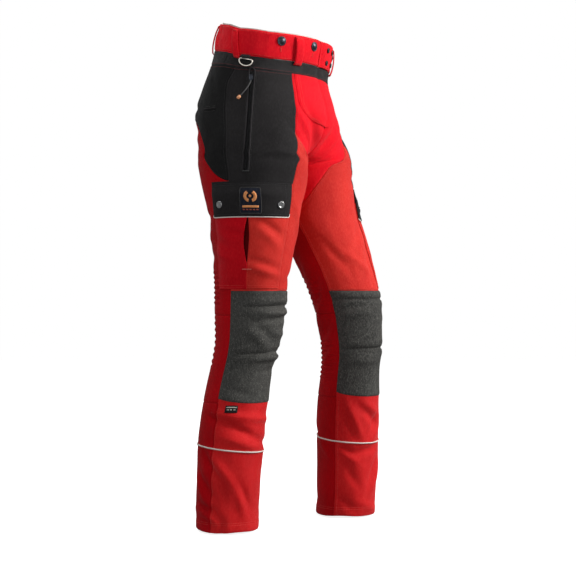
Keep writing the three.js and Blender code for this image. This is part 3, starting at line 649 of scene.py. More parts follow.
class Finish:
    """One material: its nodes, its shader and its output."""

    def __init__(self, name, fixed):
        self.material = bpy.data.materials.new(name)
        self.material.use_nodes = True
        self.tree = self.material.node_tree
        self.tree.nodes.clear()
        self.shader = self.tree.nodes.new("ShaderNodeBsdfPrincipled")
        out = self.tree.nodes.new("ShaderNodeOutputMaterial")
        self.tree.links.new(self.shader.outputs[0], out.inputs["Surface"])
        for socket, value in fixed.items():
            self.shader.inputs[socket].default_value = value

    def make(self, kind, settings, values, pick=0):
        node = self.tree.nodes.new(kind)
        for name, value in settings.items():
            setattr(node, name, value)
        for socket, value in values.items():
            self.feed(node.inputs[socket], value)
        return Tone(self, node.outputs[pick])

    def feed(self, socket, value):
        if isinstance(value, Tone):
            self.tree.links.new(value.socket, socket)
        elif socket.type == "RGBA" and len(value) == 3:
            socket.default_value = (*value, 1)
        else:
            socket.default_value = value

    def threads(self):
        """The piece's own map, in metres: round the garment, and up it."""
        chart = self.make("ShaderNodeUVMap", {"uv_map": "cloth"}, {})
        return [self.make("ShaderNodeSeparateXYZ", {}, {0: chart}, k) for k in (0, 1)]

    def place(self):
        return self.make("ShaderNodeTexCoord", {}, {}, "Object")

    def cloud(self, scale, detail=2.0, at=None, stretch=(1, 1, 1)):
        spot = self.make("ShaderNodeMapping", {}, {"Vector": at or self.place(), "Scale": stretch})
        return self.make("ShaderNodeTexNoise", {}, {"Vector": spot, "Scale": scale, "Detail": detail})

    def blend(self, first, second, share):
        return self.make("ShaderNodeMix", {"data_type": "RGBA"}, {0: share, 6: first, 7: second}, 2)

    def use(self, colour, rough, height, depth):
        self.feed(self.shader.inputs["Base Color"], colour)
        self.feed(self.shader.inputs["Roughness"], rough)
        bump = self.make("ShaderNodeBump", {}, {"Strength": 0.7, "Distance": depth, "Height": height})
        self.feed(self.shader.inputs["Normal"], bump)
        return self.material


def woven(name, base, deep, light, pitch=0.0011, rough=0.72, sheen=0.25, twill=False, slub=0.3, depth=0.00035,
          flecks=0.0, valley_shade=0.34):
    """A woven or knitted cloth: threads over and under, slubs, slow changes of dye and handling, and painted
    shade in the weave's valleys.
    """
    finish = Finish(name, {"Sheen Weight": sheen, "Sheen Roughness": 0.4, "Specular IOR Level": 0.08})
    u, v = finish.threads()
    if twill:
        ribs = (u + v).wave(pitch * 2.2) * 0.5 + 0.5
        height = ribs * 0.8 + (u - v).wave(pitch).size() * 0.2
    else:
        over = (u.wave(2 * pitch) * v.wave(2 * pitch)) > 0.0
        height = over * u.wave(2 * pitch).size() + (1 - over) * v.wave(2 * pitch).size()
    dye = finish.cloud(9.0, 3.0).between(0.34, 0.68)
    thread = finish.cloud(420.0, 2.0, stretch=(1, 1, 0.35)).between(0.38, 0.72)
    rub = finish.cloud(38.0, 4.0).between(0.52, 0.78)
    colour = finish.blend(deep, base, dye * 0.55 + 0.45)
    colour = finish.blend(colour, light, thread * slub + rub * 0.10)
    # Painted shade: the weave's valleys, where the bump is low, are darkened towards the dark tone.
    colour = finish.blend(colour, deep, (1 - height) * valley_shade)
    if flecks:
        bright = finish.cloud(640.0, 1.0, stretch=(1, 1, 0.6)).between(0.58, 0.70)
        colour = finish.blend(colour, (0.36, 0.35, 0.31), bright * flecks)
        height = height + bright * 0.6
    return finish.use(colour, rough - thread * 0.08 + dye * 0.06, height + thread * 0.35, depth)


def metal(name, base, worn, rough, metallic=1.0, grain=260.0):
    """Plated or lacquered metal with fine lighter handling marks and duller patches at random."""
    finish = Finish(name, {"Metallic": metallic, "Specular IOR Level": 0.5})
    scuff = finish.cloud(grain, 3.0).between(0.45, 0.75)
    dull = finish.cloud(90.0, 4.0).between(0.35, 0.7)
    colour = finish.blend(base, worn, scuff * 0.5)
    return finish.use(colour, rough + dull * 0.16 - scuff * 0.05, scuff * 0.5 + dull * 0.3, 0.00012)


red_stretch = woven("red_stretch_knit", (0.84, 0.004, 0.016), (0.58, 0.0, 0.010), (0.98, 0.03, 0.03),
                    0.0010, 0.8, 0.05)
orange_weave = woven("orange_red_satin_weave", (0.64, 0.026, 0.018), (0.44, 0.006, 0.006),
                     (0.86, 0.085, 0.055), 0.0013, 0.56, 0.08, slub=0.22)
shin_weave = woven("shin_red_satin_weave", (0.65, 0.011, 0.013), (0.42, 0.001, 0.004),
                   (0.86, 0.055, 0.045), 0.0013, 0.5, 0.08, slub=0.18)
pocket_weave = woven("pocket_red_stretch", (0.60, 0.001, 0.010), (0.42, 0.0, 0.004),
                     (0.76, 0.012, 0.018), 0.0011, 0.78, 0.05, slub=0.3)
dark_stretch = woven("dark_red_stretch", (0.47, 0.0005, 0.005), (0.29, 0.0, 0.002), (0.60, 0.006, 0.010),
                     0.0010, 0.86, 0.03, slub=0.22)
black_shell = woven("black_soft_shell", (0.025, 0.0232, 0.0237), (0.013, 0.012, 0.0125),
                    (0.055, 0.052, 0.055), 0.0012, 0.88, 0.03, twill=True, slub=0.14)
# Painted shade: the seat's black is a darker copy of the soft shell above, for the shade that falls on the
# seat.
shaded_seat_shell = woven("black_seat_shell", (0.0145, 0.0142, 0.0144), (0.007, 0.0068, 0.007),
                   (0.034, 0.033, 0.034), 0.0012, 0.9, 0.03, twill=True, slub=0.14)
flap_shell = woven("black_flap_shell", (0.020, 0.0185, 0.019), (0.009, 0.0085, 0.009),
                   (0.048, 0.045, 0.047), 0.0012, 0.86, 0.03, twill=True, slub=0.14)
lip_shell = woven("zip_lip_shell", (0.030, 0.028, 0.029), (0.013, 0.012, 0.013), (0.06, 0.057, 0.06),
                  0.0012, 0.8, 0.03, twill=True)
# Painted shade: the ribs' valleys are taken fully to the near-black tone, so that the ribs read.
rib_twill = woven("black_ribbed_twill", (0.060, 0.056, 0.058), (0.002, 0.002, 0.002),
                  (0.12, 0.115, 0.115), 0.0021, 0.8, 0.03, twill=True, depth=0.0009, valley_shade=1.0)
knee_cloth = woven("grey_knee_armour", (0.056, 0.055, 0.051), (0.022, 0.022, 0.021), (0.12, 0.118, 0.11),
                   0.0019, 0.9, 0.02, slub=0.5, depth=0.0006, flecks=0.25)
felt = woven("pale_protective_felt", (0.62, 0.61, 0.56), (0.42, 0.41, 0.37), (0.8, 0.79, 0.75), 0.0024,
             0.95, 0.2)
# Painted shade: the gusset's cloth is a near-black red, for the shade inside the pocket's gaping slit.
gusset_painted_shade = woven("dark_pocket_lining", (0.12, 0.0, 0.002), (0.05, 0.0, 0.001), (0.2, 0.005, 0.006), 0.001,
               0.9, 0.1)
tape_weave = woven("zip_tape_weave", (0.012, 0.012, 0.0125), (0.004, 0.004, 0.004),
                   (0.035, 0.035, 0.036), 0.0008, 0.8, 0.1, twill=True)
badge = woven("blue_black_badge_twill", (0.012, 0.014, 0.024), (0.005, 0.006, 0.011),
              (0.04, 0.045, 0.065), 0.0007, 0.8, 0.15, twill=True)
gunmetal = metal("gunmetal_button", (0.040, 0.044, 0.054), (0.12, 0.125, 0.14), 0.36)
stud_metal = metal("worn_stud_steel", (0.34, 0.34, 0.34), (0.62, 0.62, 0.61), 0.26)
ring_steel = metal("satin_ring_steel", (0.50, 0.46, 0.40), (0.74, 0.71, 0.66), 0.28)
black_lacquer = metal("black_lacquered_stud", (0.012, 0.012, 0.013), (0.05, 0.05, 0.052), 0.34,
                      metallic=0.4)


def braided(name, base, light, pitch, rough):
    """Cord, thread or piping: a twist that runs round it, with a painted highlight on the twist's crests and
    frayed lighter fibres.
    """
    finish = Finish(name, {"Sheen Weight": 0.05, "Specular IOR Level": 0.25})
    spot = finish.place()
    x, y, z = [finish.make("ShaderNodeSeparateXYZ", {}, {0: spot}, k) for k in (0, 1, 2)]
    twist = (x * 0.7 + y * 0.7 + z).wave(pitch) * 0.5 + 0.5
    fibre = finish.cloud(500.0, 2.0).between(0.4, 0.7)
    # Painted highlight: the twist's crests are mixed towards the lighter colour; the fibres' lighter flecks
    # are their own colour.
    colour = finish.blend(base, light, twist * 0.5 + fibre * 0.25)
    return finish.use(colour, rough - fibre * 0.1, twist + fibre * 0.4, 0.0002)


reflective = braided("pale_reflective_piping", (0.60, 0.54, 0.50), (0.90, 0.86, 0.80), 0.0016, 0.5)
red_thread = braided("red_sewing_thread", (0.62, 0.02, 0.02), (0.95, 0.16, 0.12), 0.0007, 0.6)
dull_thread = braided("dark_red_sewing_thread", (0.16, 0.02, 0.025), (0.34, 0.07, 0.07), 0.0007, 0.7)
black_thread = braided("black_sewing_thread", (0.012, 0.012, 0.012), (0.07, 0.068, 0.07), 0.0007, 0.6)
pink_thread = braided("pale_red_bartack_thread", (0.72, 0.10, 0.09), (0.92, 0.30, 0.26), 0.0007, 0.6)
rust_thread = braided("rust_badge_thread", (0.30, 0.055, 0.03), (0.50, 0.13, 0.07), 0.0008, 0.65)
grey_thread = braided("grey_sewing_thread", (0.03, 0.03, 0.028), (0.10, 0.10, 0.09), 0.0007, 0.7)
orange_thread = braided("orange_badge_thread", (0.62, 0.20, 0.055), (0.86, 0.40, 0.16), 0.0008, 0.6)
pale_thread = braided("pale_label_thread", (0.42, 0.40, 0.34), (0.72, 0.70, 0.62), 0.0008, 0.6)
puller_cord = braided("grey_puller_cord", (0.045, 0.045, 0.048), (0.16, 0.155, 0.15), 0.0018, 0.65)
# Painted highlight: the bead's pale bands, laid along the twist, stand for its two highlights.
bead_with_painted_highlights = braided("orange_puller_bead", (0.66, 0.24, 0.09), (0.86, 0.52, 0.32), 0.004, 0.5)


# ---- Hips: stretch front, soft-shell sides and seat ---------------------------------------------------
# The red front is a two-way stretch cloth cut on a slant at the thigh; the black side panel runs flat from
# the yoke to the pocket flap, and the black seat curves up to the back seam. All are sewn edge to edge.
YOKE_Z = -0.081
FLAP_Z = -0.316
KNEE_TOP = -0.538
KNEE_FOLD = -0.588
KNEE_LOW = -0.768
HIP_POCKET_Z = -0.332


def straight_seam(side):
    """The side panel's front border, ironed straight from under the yoke to the pocket flap."""
    border = edge_of(f"side_panel_{side}", side, 0)
    skin = skins[side]
    top = skin.sample(skin.place, np.array(border(YOKE_Z) - 0.022), np.array(YOKE_Z))
    low = skin.sample(skin.place, np.array(border(FLAP_Z) + 0.004), np.array(HIP_POCKET_Z))
    share, level = skin.share_of(top + (low - top) * np.linspace(-0.04, 1.04, 50)[:, None])
    share, level = smooth(share, 3, 0), np.maximum.accumulate(-level)
    return lambda z: np.interp(-np.asarray(z, float), level, share)


front_seam = {s: straight_seam(s) for s in SIDES}
side_seam = {s: edge_of(f"side_panel_{s}", s, 1) for s in SIDES}
leg_seam = {s: edge_of(f"knee_patch_{s}", s, 1) for s in SIDES}
STRETCH_DROP = ((0, -0.364), (0.2, -0.344), (0.4, -0.310), (0.6, -0.272), (0.8, -0.238), (1, -0.208))
SEAT_DROP = ((0, -0.316), (0.12, -0.300), (0.26, -0.246), (0.4, -0.206), (0.66, -0.178), (1, -0.170))


def drawn(line):
    """A border through these (share, level) pairs, rounded off between them."""
    xs, ys = zip(*line)
    fine = np.linspace(0, 1, 61)
    soft = smooth(np.interp(fine, xs, ys), 6, 0)
    return lambda p: np.interp(p, fine, soft)


stretch_edge = drawn(STRETCH_DROP)
seat_edge = drawn(SEAT_DROP)
first_seam = constant(0.0)
last_seam = constant(1.0)


def overlapped(s, t, u, z):
    """A front panel laps over the back one at the inside seam, as a low felled ridge."""
    return 0.0014 * np.exp(-((s / 0.03) ** 2)) * ease((CROTCH_Z - 0.02 - z) / 0.05)


for side in SIDES:
    front = panel(f"front_hip_{side}", side, first_seam, front_seam[side], constant(YOKE_Z), stretch_edge,
                  red_stretch, overlapped)
    seated(front, "trousers", f"front_hip_{side}")
    flank = panel(f"side_panel_{side}", side, front_seam[side], side_seam[side], constant(YOKE_Z),
                  constant(FLAP_Z - 0.004), black_shell)
    seated(flank, "trousers", f"side_panel_{side}")
    seat = panel(f"seat_{side}", side, side_seam[side], last_seam, constant(YOKE_Z), seat_edge,
                 shaded_seat_shell)
    seated(seat, "trousers", f"seat_{side}")

# ---- Legs: thighs, knees and shins --------------------------------------------------------------------
# Satin-faced protective weave in front and a duller stretch cloth behind, with speckled knee armour that
# stands a little proud. What crosses the knee is baked in place, on no body.
DARTS = {"right": ((0.30, 0.86, -0.570, 0.36), (0.22, 0.92, -0.666, 0.42)),
         "left": ((0.02, 0.64, -0.556, 0.44), (0.04, 0.62, -0.662, 0.40))}


def bent(piece, side, *replaced):
    """Bakes the piece's placement into its mesh, on no body, and hides the CAD parts it replaces."""
    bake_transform(piece)
    if replaced:
        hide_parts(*replaced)
    return piece


def hem_line(side):
    return lambda p: HEM_Z + 0.0012 + 0.0016 * np.sin(9 * p + SIDES[side]) * np.sin(4 * p + 1)


def hemmed(s, t, u, z):
    """A turned-up hem, two layers thick."""
    return overlapped(s, t, u, z) + 0.0008 * ease((HEM_Z + 0.019 - z) / 0.002)


def armour_lift(side):
    """The armour's crossways darts: a sewn valley between two swells, with a slit left open in its middle."""
    def lift(s, t, u, z):
        raised = 0.0014 + 0.0 * s
        for near, far, level, slit in DARTS[side]:
            window = ease((s - near + 0.04) / 0.05) * ease((far + 0.04 - s) / 0.05)
            open_slit = np.exp(-(((s - slit) / 0.07) ** 2))
            valley = np.exp(-(((z - level) / 0.0026) ** 2))
            swell = np.exp(-(((np.abs(z - level) - 0.011) / 0.007) ** 2))
            raised = raised + window * (0.0013 * swell - (0.0026 + 0.0024 * open_slit) * valley)
        return raised
    return lift


for side in SIDES:
    inner = panel(f"thigh_front_{side}", side, first_seam, front_seam[side], stretch_edge, constant(KNEE_TOP),
                  orange_weave, overlapped)
    seated(inner, "trousers", f"thigh_front_{side}")
    outer = panel(f"thigh_outer_{side}", side, lambda z, s=side: front_seam[s](z) - 0.001, leg_seam[side],
                  constant(FLAP_Z + 0.003), constant(KNEE_TOP), orange_weave,
                  lambda s, t, u, z: -0.0008 * ease((z + 0.33) / 0.01), tuck=0.0)
    seated(outer, "trousers")
    back = panel(f"thigh_back_{side}", side, leg_seam[side], last_seam, seat_edge, constant(KNEE_FOLD),
                 dark_stretch)
    seated(back, "trousers", f"thigh_back_{side}")
    armour = panel(f"knee_patch_{side}", side, first_seam, leg_seam[side], constant(KNEE_TOP),
                   lambda p: KNEE_LOW + 0.010 * (np.abs(2 * p - 1) ** 3), knee_cloth,
                   armour_lift(side), cell=0.0027, thickness=0.0034)
    bent(armour, side, f"knee_patch_{side}")
    fold = panel(f"knee_back_{side}", side, leg_seam[side], last_seam, constant(KNEE_FOLD),
                 constant(KNEE_LOW), dark_stretch, cell=0.003)
    bent(fold, side, f"knee_back_{side}")
    shin = panel(f"shin_front_{side}", side, first_seam, leg_seam[side],
                 lambda p: KNEE_LOW + 0.006 + 0.006 * (np.abs(2 * p - 1) ** 3), hem_line(side),
                 shin_weave, hemmed)
    seated(shin, f"{side}_shin", f"shin_front_{side}")
    calf = panel(f"calf_back_{side}", side, leg_seam[side], last_seam, constant(KNEE_LOW), hem_line(side),
                 dark_stretch, hemmed)
    seated(calf, f"{side}_shin", f"calf_back_{side}")


# ---- Waist: band, gripper and yoke --------------------------------------------------------------------
# A deep red band, gathered with elastic behind, on a ribbed black yoke, with a pale gripper strip inside.
BAND_LOW = -0.0548


def round_waist(w, z, lift):
    """Points round the waist: w from -1 (back) by the wearer's right to 0 (front) and on to 1 (back)."""
    w, z, lift = np.broadcast_arrays(np.asarray(w, float), np.asarray(z, float), np.asarray(lift, float))
    right = skins["right"].at(np.abs(w), z, lift)
    left = skins["left"].at(np.abs(w), z, lift)
    return np.where((w < 0)[..., None], right, left)


def waist_ring(name, top, bottom, material, lift, thickness, node):
    def place(s, t):
        w, z = 2 * s - 1, top + (bottom - top) * t
        return round_waist(w, z, lift(w, t)), np.stack([s * 1.0, z], -1)

    piece = lay(place, np.linspace(0, 1, 301), crowded(top - bottom, 0.003), material, name + "_cloth",
                thickness, True)
    s, t = np.meshgrid(np.linspace(0, 1, 80), np.linspace(0, 1, 9), indexing="ij")
    declare_cut(round_waist(2 * s - 1, top + (bottom - top) * t, 0.0))
    return seated(piece, "trousers", node)


def band_lift(w, t):
    rim = np.minimum(t, 1 - t) * 0.055
    crown = 0.0012 * (1 - np.exp(-rim / 0.006)) - 0.0012 * np.exp(-((rim / 0.0014) ** 2))
    elastic = ease((np.abs(w) - 0.60) / 0.1) * np.sin(math.pi * np.clip(t, 0, 1)) ** 0.5
    gathers = np.sin(w * 190) * 0.0013 + np.sin(w * 113 + 5 * t) * 0.0008
    return crown + elastic * gathers + 0.0004 * np.sin(37 * w + 9 * t)


def grip_lift(w, t):
    return -0.0048 + 0.0 * w


def yoke_lift(w, t):
    rim = np.minimum(t, 1 - t) * 0.026
    return -0.0008 * np.exp(-((rim / 0.0014) ** 2)) + 0.0 * w


waist_ring("waistband", 0.0, BAND_LOW, red_stretch, band_lift, 0.0034, "waistband")
waist_ring("waist_grip", 0.0026, -0.034, felt, grip_lift, 0.0012, "waist_grip")
waist_ring("yoke", BAND_LOW - 0.0004, YOKE_Z, rib_twill, yoke_lift, CLOTH, "yoke")


# ---- Sewing -------------------------------------------------------------------------------------------
# Rows of stitches are real: one short capsule of thread each, a few faces, set along a line on the cloth.
def walk(side, u, z, lift, pitch):
    """Evenly spaced places along a line on the skin, with the line's direction and the cloth's normal."""
    skin = skins[side]
    points = skin.at(np.asarray(u), np.asarray(z), lift)
    run = np.concatenate([[0], np.cumsum(np.linalg.norm(np.diff(points, axis=0), axis=1))])
    count = max(2, int(run[-1] / pitch))
    spots = (np.arange(count) + 0.5) * run[-1] / count
    at = np.stack([np.interp(spots, run, points[:, k]) for k in range(3)], 1)
    ahead = np.stack([np.interp(spots + 0.001, run, points[:, k]) for k in range(3)], 1)
    behind = np.stack([np.interp(spots - 0.001, run, points[:, k]) for k in range(3)], 1)
    out = skin.out_at(np.interp(spots, run, u), np.interp(spots, run, z))
    return at, ahead - behind, out


def sew(name, body, rows, thread, pitch=0.0036, length=0.0025, girth=0.0008, bend=None):
    """Rows of stitches as one piece; each row is (side, shares, levels, lift)."""
    template = bmesh.new()
    bmesh.ops.create_icosphere(template, subdivisions=1, radius=0.5)
    bmesh.ops.scale(template, vec=(length, girth, girth * 0.8), verts=template.verts)
    stitch = bpy.data.meshes.new("stitch")
    template.to_mesh(stitch)
    template.free()
    bm = bmesh.new()
    for side, u, z, lift in rows:
        for point, run, out in zip(*walk(side, u, z, lift, pitch)):
            x = Vector(run).normalized()
            y = Vector(out).cross(x).normalized()
            turn = Matrix((x, y, x.cross(y))).transposed().to_4x4()
            turn.translation = Vector(point)
            stitch.transform(turn)
            bm.from_mesh(stitch)
            stitch.transform(turn.inverted())
    bpy.data.meshes.remove(stitch)
    piece = new_piece(name, bm, thread)
    if bend:
        return bent(piece, bend)
    return seated(piece, body)


def inside(border, side, z, distance):
    """A line a set distance beside a border; a distance above 0 is towards greater shares."""
    return border(z) + distance / skins[side].around(z)


def level_row(side, first, last, z, steps=120):
    return side, np.linspace(first, last, steps), np.full(steps, z)


for side in SIDES:
    down = np.linspace(YOKE_Z - 0.004, -0.205, 90)
    hips = [(side, inside(front_seam[side], side, down, -0.0035), down, 0.0003)]
    p = np.linspace(0.02, 0.98, 80)
    slope = stretch_edge(p) - 0.0035
    hips.append((side, front_seam[side](slope) * p, slope, 0.0003))
    hips.append((side, front_seam[side](slope) * p, slope - 0.004, 0.0003))
    sew(f"hip_stitches_{side}", "trousers", hips, red_thread)
    long_down = np.linspace(YOKE_Z - 0.004, FLAP_Z + 0.004, 120)
    black = [(side, inside(front_seam[side], side, long_down, 0.004), long_down, 0.0003),
             (side, inside(side_seam[side], side, long_down, 0.0035), long_down, 0.0003),
             (side, inside(side_seam[side], side, long_down, -0.0035), long_down, 0.0003)]
    back_p = np.linspace(0.02, 0.98, 90)
    curve_z = seat_edge(back_p) + 0.004
    black.append((side, side_seam[side](curve_z) + (1 - side_seam[side](curve_z)) * back_p, curve_z, 0.0003))
    sew(f"shell_stitches_{side}", "trousers", black, black_thread)
    thigh_z = np.linspace(CROTCH_Z - 0.04, KNEE_TOP - 0.004, 110)
    outer_z = np.linspace(FLAP_Z - 0.236, KNEE_TOP - 0.004, 20)
    seams = [(side, np.full(110, 0.012), thigh_z, 0.0012),
             level_row(side, 0.01, float(leg_seam[side](KNEE_TOP)) - 0.01, KNEE_TOP + 0.0035) + (0.0003,),
             (side, inside(leg_seam[side], side, outer_z, -0.0035), outer_z, 0.0003)]
    sew(f"thigh_stitches_{side}", "trousers", seams, red_thread)
    shin_z = np.linspace(KNEE_LOW - 0.008, HEM_Z + 0.004, 110)
    shank = [(side, np.full(110, 0.014), shin_z, 0.0012),
             (side, inside(leg_seam[side], side, shin_z, -0.0035), shin_z, 0.0003),
             level_row(side, 0.002, 0.998, HEM_Z + 0.0165) + (0.0009,),
             level_row(side, 0.002, 0.998, HEM_Z + 0.0205) + (0.0004,)]
    sew(f"shin_stitches_{side}", f"{side}_shin", shank, red_thread)
    edge = float(leg_seam[side](-0.65))
    grey = []
    for near, far, level, slit in DARTS[side]:
        for step in (0.0042, -0.0042):
            grey.append(level_row(side, near * edge, far * edge, level + step, 60) + (0.0018,))
    for step in (0.0035, 0.0075):
        fine_z = np.linspace(KNEE_TOP - 0.004, KNEE_LOW + 0.014, 100)
        grey.append((side, inside(leg_seam[side], side, fine_z, -step), fine_z, 0.0014))
        grey.append(level_row(side, 0.012, edge - 0.012, KNEE_TOP - step, 90) + (0.0014,))
    sew(f"knee_stitches_{side}", None, grey, grey_thread, girth=0.0007, bend=side)

turns = np.linspace(0.001, 0.999, 240)
ring_rows = {"band": [], "yoke": []}
for side in SIDES:
    for z in (-0.004, -0.051):
        ring_rows["band"].append((side, turns, np.full(240, z), 0.0009))
    ring_rows["yoke"].append((side, turns, np.full(240, YOKE_Z + 0.003), 0.0001))
    ring_rows["yoke"].append((side, turns, np.full(240, YOKE_Z - 0.0035), 0.0001))
sew("band_stitches", "trousers", ring_rows["band"], red_thread)
sew("yoke_stitches", "trousers", ring_rows["yoke"], dull_thread)


# ---- Small sewn and wrapped parts ---------------------------------------------------------------------
# Flat shapes drawn in the cloth's own plane, x to the viewer's right and y up, then wrapped onto the skin.
def wrapped(bm, side, u0, z0, lift):
    """Lays a flat mesh on the skin round (u0, z0); its z stays its height over the cloth."""
    skin = skins[side]
    flat = np.array([v.co for v in bm.verts])
    girth = skin.around(z0)
    u = u0 + flat[:, 0] * SIDES[side] / girth
    z = z0 + flat[:, 1]
    for vert, point in zip(bm.verts, skin.at(u, z, lift + flat[:, 2])):
        vert.co = point
    bmesh.ops.recalc_face_normals(bm, faces=bm.faces)


def node_spot(node, side):
    """Share and level of the middle of a CAD node on the cloth."""
    share, level = skins[side].share_of(points_of(node))
    return float((share.min() + share.max()) / 2), float((level.min() + level.max()) / 2)


def upright(side, u, z, lift):
    """A frame on the cloth: x to the viewer's right, y up the cloth, z out of it."""
    skin = skins[side]
    at = Vector(skin.at(np.array(u), np.array(z), lift))
    out = Vector(skin.out_at(np.array(u), np.array(z)))
    up = Vector(skin.at(np.array(u), np.array(z + 0.004), lift)) - at
    up = (up - out * up.dot(out)).normalized()
    turn = Matrix((up.cross(out), up, out)).transposed().to_4x4()
    turn.translation = at
    return turn


def turned(name, outline, place, material, steps=40):
    """A round metal part spun from its outline of (radius, height) points."""
    bm = bmesh.new()
    verts = [bm.verts.new((r, 0, h)) for r, h in outline]
    edges = [bm.edges.new(pair) for pair in zip(verts, verts[1:])]
    bmesh.ops.spin(bm, geom=verts + edges, axis=(0, 0, 1), cent=(0, 0, 0), angle=2 * math.pi, steps=steps,
                   use_merge=True)
    bmesh.ops.remove_doubles(bm, verts=bm.verts, dist=1e-6)
    bmesh.ops.recalc_face_normals(bm, faces=bm.faces)
    bmesh.ops.transform(bm, matrix=place, verts=bm.verts)
    piece = new_piece(name, bm, material)
    piece.modifiers.new("rounded", "SUBSURF").levels = 1
    piece.modifiers["rounded"].render_levels = 1
    return piece


def tube(name, points, radius, material, closed=False, sides=10):
    """Cord, piping or wire along a line of points, as a mesh."""
    curve = bpy.data.curves.new(name, "CURVE")
    curve.dimensions = "3D"
    curve.bevel_depth = radius
    curve.bevel_resolution = sides // 4
    curve.use_fill_caps = not closed
    spline = curve.splines.new("POLY")
    spline.points.add(len(points) - 1)
    for spot, point in zip(spline.points, points):
        spot.co = (*point, 1)
    spline.use_cyclic_u = closed
    carrier = bpy.data.objects.new(name, curve)
    mesh = bpy.data.meshes.new_from_object(carrier)
    bpy.data.objects.remove(carrier)
    bpy.data.curves.remove(curve)
    bm = bmesh.new()
    bm.from_mesh(mesh)
    bpy.data.meshes.remove(mesh)
    bmesh.ops.remove_doubles(bm, verts=bm.verts, dist=1e-6)
    bmesh.ops.recalc_face_normals(bm, faces=bm.faces)
    return new_piece(name, bm, material)


def box_patch(bm, width, height, rise, x=0.0, y=0.0, turn=0.0, cuts=4, corner=0.0):
    """A soft-edged flat block for a patch, bar or bartack, cut so that it can follow the cloth."""
    made = bmesh.ops.create_grid(bm, x_segments=max(2, cuts), y_segments=max(2, cuts), size=0.5)["verts"]
    for vert in made:
        sx, sy = vert.co.x * 2, vert.co.y * 2
        pull = corner * (abs(sx) * abs(sy)) ** 3
        crown = rise * (1 - max(abs(sx), abs(sy)) ** 6)
        vert.co = Vector((sx * (width / 2 - pull), sy * (height / 2 - pull), crown))
    spin = Matrix.Rotation(turn, 4, "Z")
    bmesh.ops.transform(bm, matrix=Matrix.Translation((x, y, 0)) @ spin, verts=made)
    return made


def badge_map(bm):
    layer = bm.loops.layers.uv.new("cloth")
    for face in bm.faces:
        for loop in face.loops:
            loop[layer].uv = (loop.vert.co.x, loop.vert.co.y)


# ---- Belt loops ---------------------------------------------------------------------------------------
# Red webbing, folded double, standing off the band to take a belt, with a bartack across each end.
LOOP_TOP, LOOP_LONG = -0.0035, 0.0590


def loop_rise(t):
    return 0.0016 + 0.0062 * np.sin(math.pi * np.clip(t, 0, 1)) ** 0.42


for side in SIDES:
    for place_name in ("front", "side", "back"):
        node = f"belt_loop_{side}_{place_name}"
        u, z = node_spot(node, side)
        width = 0.0165 / float(skins[side].around(z))

        def strap(s, t, u=u, width=width, side=side):
            z = LOOP_TOP - LOOP_LONG * t
            lean = u + width * (s - 0.5)
            crown = -0.0007 * np.abs(2 * s - 1) ** 4
            return skins[side].at(lean, z, loop_rise(t) + crown), np.stack([s * 0.018, z], -1)

        webbing = lay(strap, np.linspace(0, 1, 9), np.linspace(0, 1, 33) , red_stretch, node + "_webbing",
                      0.0017)
        edges = np.meshgrid(np.linspace(0, 1, 5), np.linspace(0, 1, 20), indexing="ij")
        declare_cut(strap(*edges)[0])
        seated(webbing, "trousers", node)
        tacks = []
        for t in (0.045, 0.075, 0.925, 0.955):
            row_z = LOOP_TOP - LOOP_LONG * t
            shares = np.linspace(u - 0.38 * width, u + 0.38 * width, 20)
            tacks.append((side, shares, np.full(20, row_z), float(loop_rise(t)) + 0.0003))
        sew(f"loop_bartack_{side}_{place_name}", "trousers", tacks, red_thread, pitch=0.0016,
            length=0.0018)

# ---- Fly and closing tab ------------------------------------------------------------------------------
# The fly is a shaped placket on the wearer's right, its curved end bartacked. The band's end crosses the
# front middle and is held by four black press studs on the wearer's left.
FLY_TOP, FLY_LOW = YOKE_Z - 0.001, -0.190


def fly_edge(t):
    return 0.046 * np.clip(1 - ((t - 0.55).clip(0, 1) / 0.45) ** 2, 0, 1) ** 0.5


def fly_place(s, t):
    z = FLY_TOP + (FLY_LOW - FLY_TOP) * t
    reach = fly_edge(t) / 0.32
    w = 0.012 - (0.012 + reach) * s
    rim = np.minimum(1 - s, 0.6) * reach * 0.32
    return round_waist(w, z, 0.0019 - 0.0015 * np.exp(-((rim / 0.0016) ** 2))), np.stack([w * 0.5, z], -1)


fly = lay(fly_place, crowded(0.045, 0.003), crowded(0.11, 0.003), red_stretch, "fly_placket_cloth",
          0.0014)
declare_cut(fly_place(*np.meshgrid(np.linspace(0, 1, 12), np.linspace(0, 1, 20), indexing="ij"))[0])
seated(fly, "trousers", "fly_placket")
fly_t = np.linspace(0.02, 0.97, 70)
fly_rows = [("right", fly_edge(fly_t) / 0.32 - inset, FLY_TOP + (FLY_LOW - FLY_TOP) * fly_t, 0.0021)
            for inset in (0.012, 0.024)]
fly_rows.append(("right", np.linspace(0.075, 0.045, 30), np.linspace(-0.176, -0.182, 30), 0.0024))
sew("fly_stitches", "trousers", fly_rows, red_thread)

tab_w = [float(skins["right"].share_of(points_of("waist_tab")[points_of("waist_tab")[:, 0] < 0])[0].max()),
         float(skins["left"].share_of(points_of("waist_tab")[points_of("waist_tab")[:, 0] > 0])[0].max())]


def tab_place(s, t):
    z = -0.001 - 0.0535 * t
    nose = 0.014 * np.abs(2 * t - 1) ** 3
    w = -tab_w[0] + (tab_w[1] - nose + tab_w[0]) * s
    rim = np.minimum(np.minimum(t, 1 - t) * 0.0535, (1 - s) * 0.1)
    lift = 0.0026 + 0.0010 * ease(s / 0.2) - 0.0012 * np.exp(-((rim / 0.0016) ** 2))
    return round_waist(w, z, lift), np.stack([s * 0.1, z], -1)


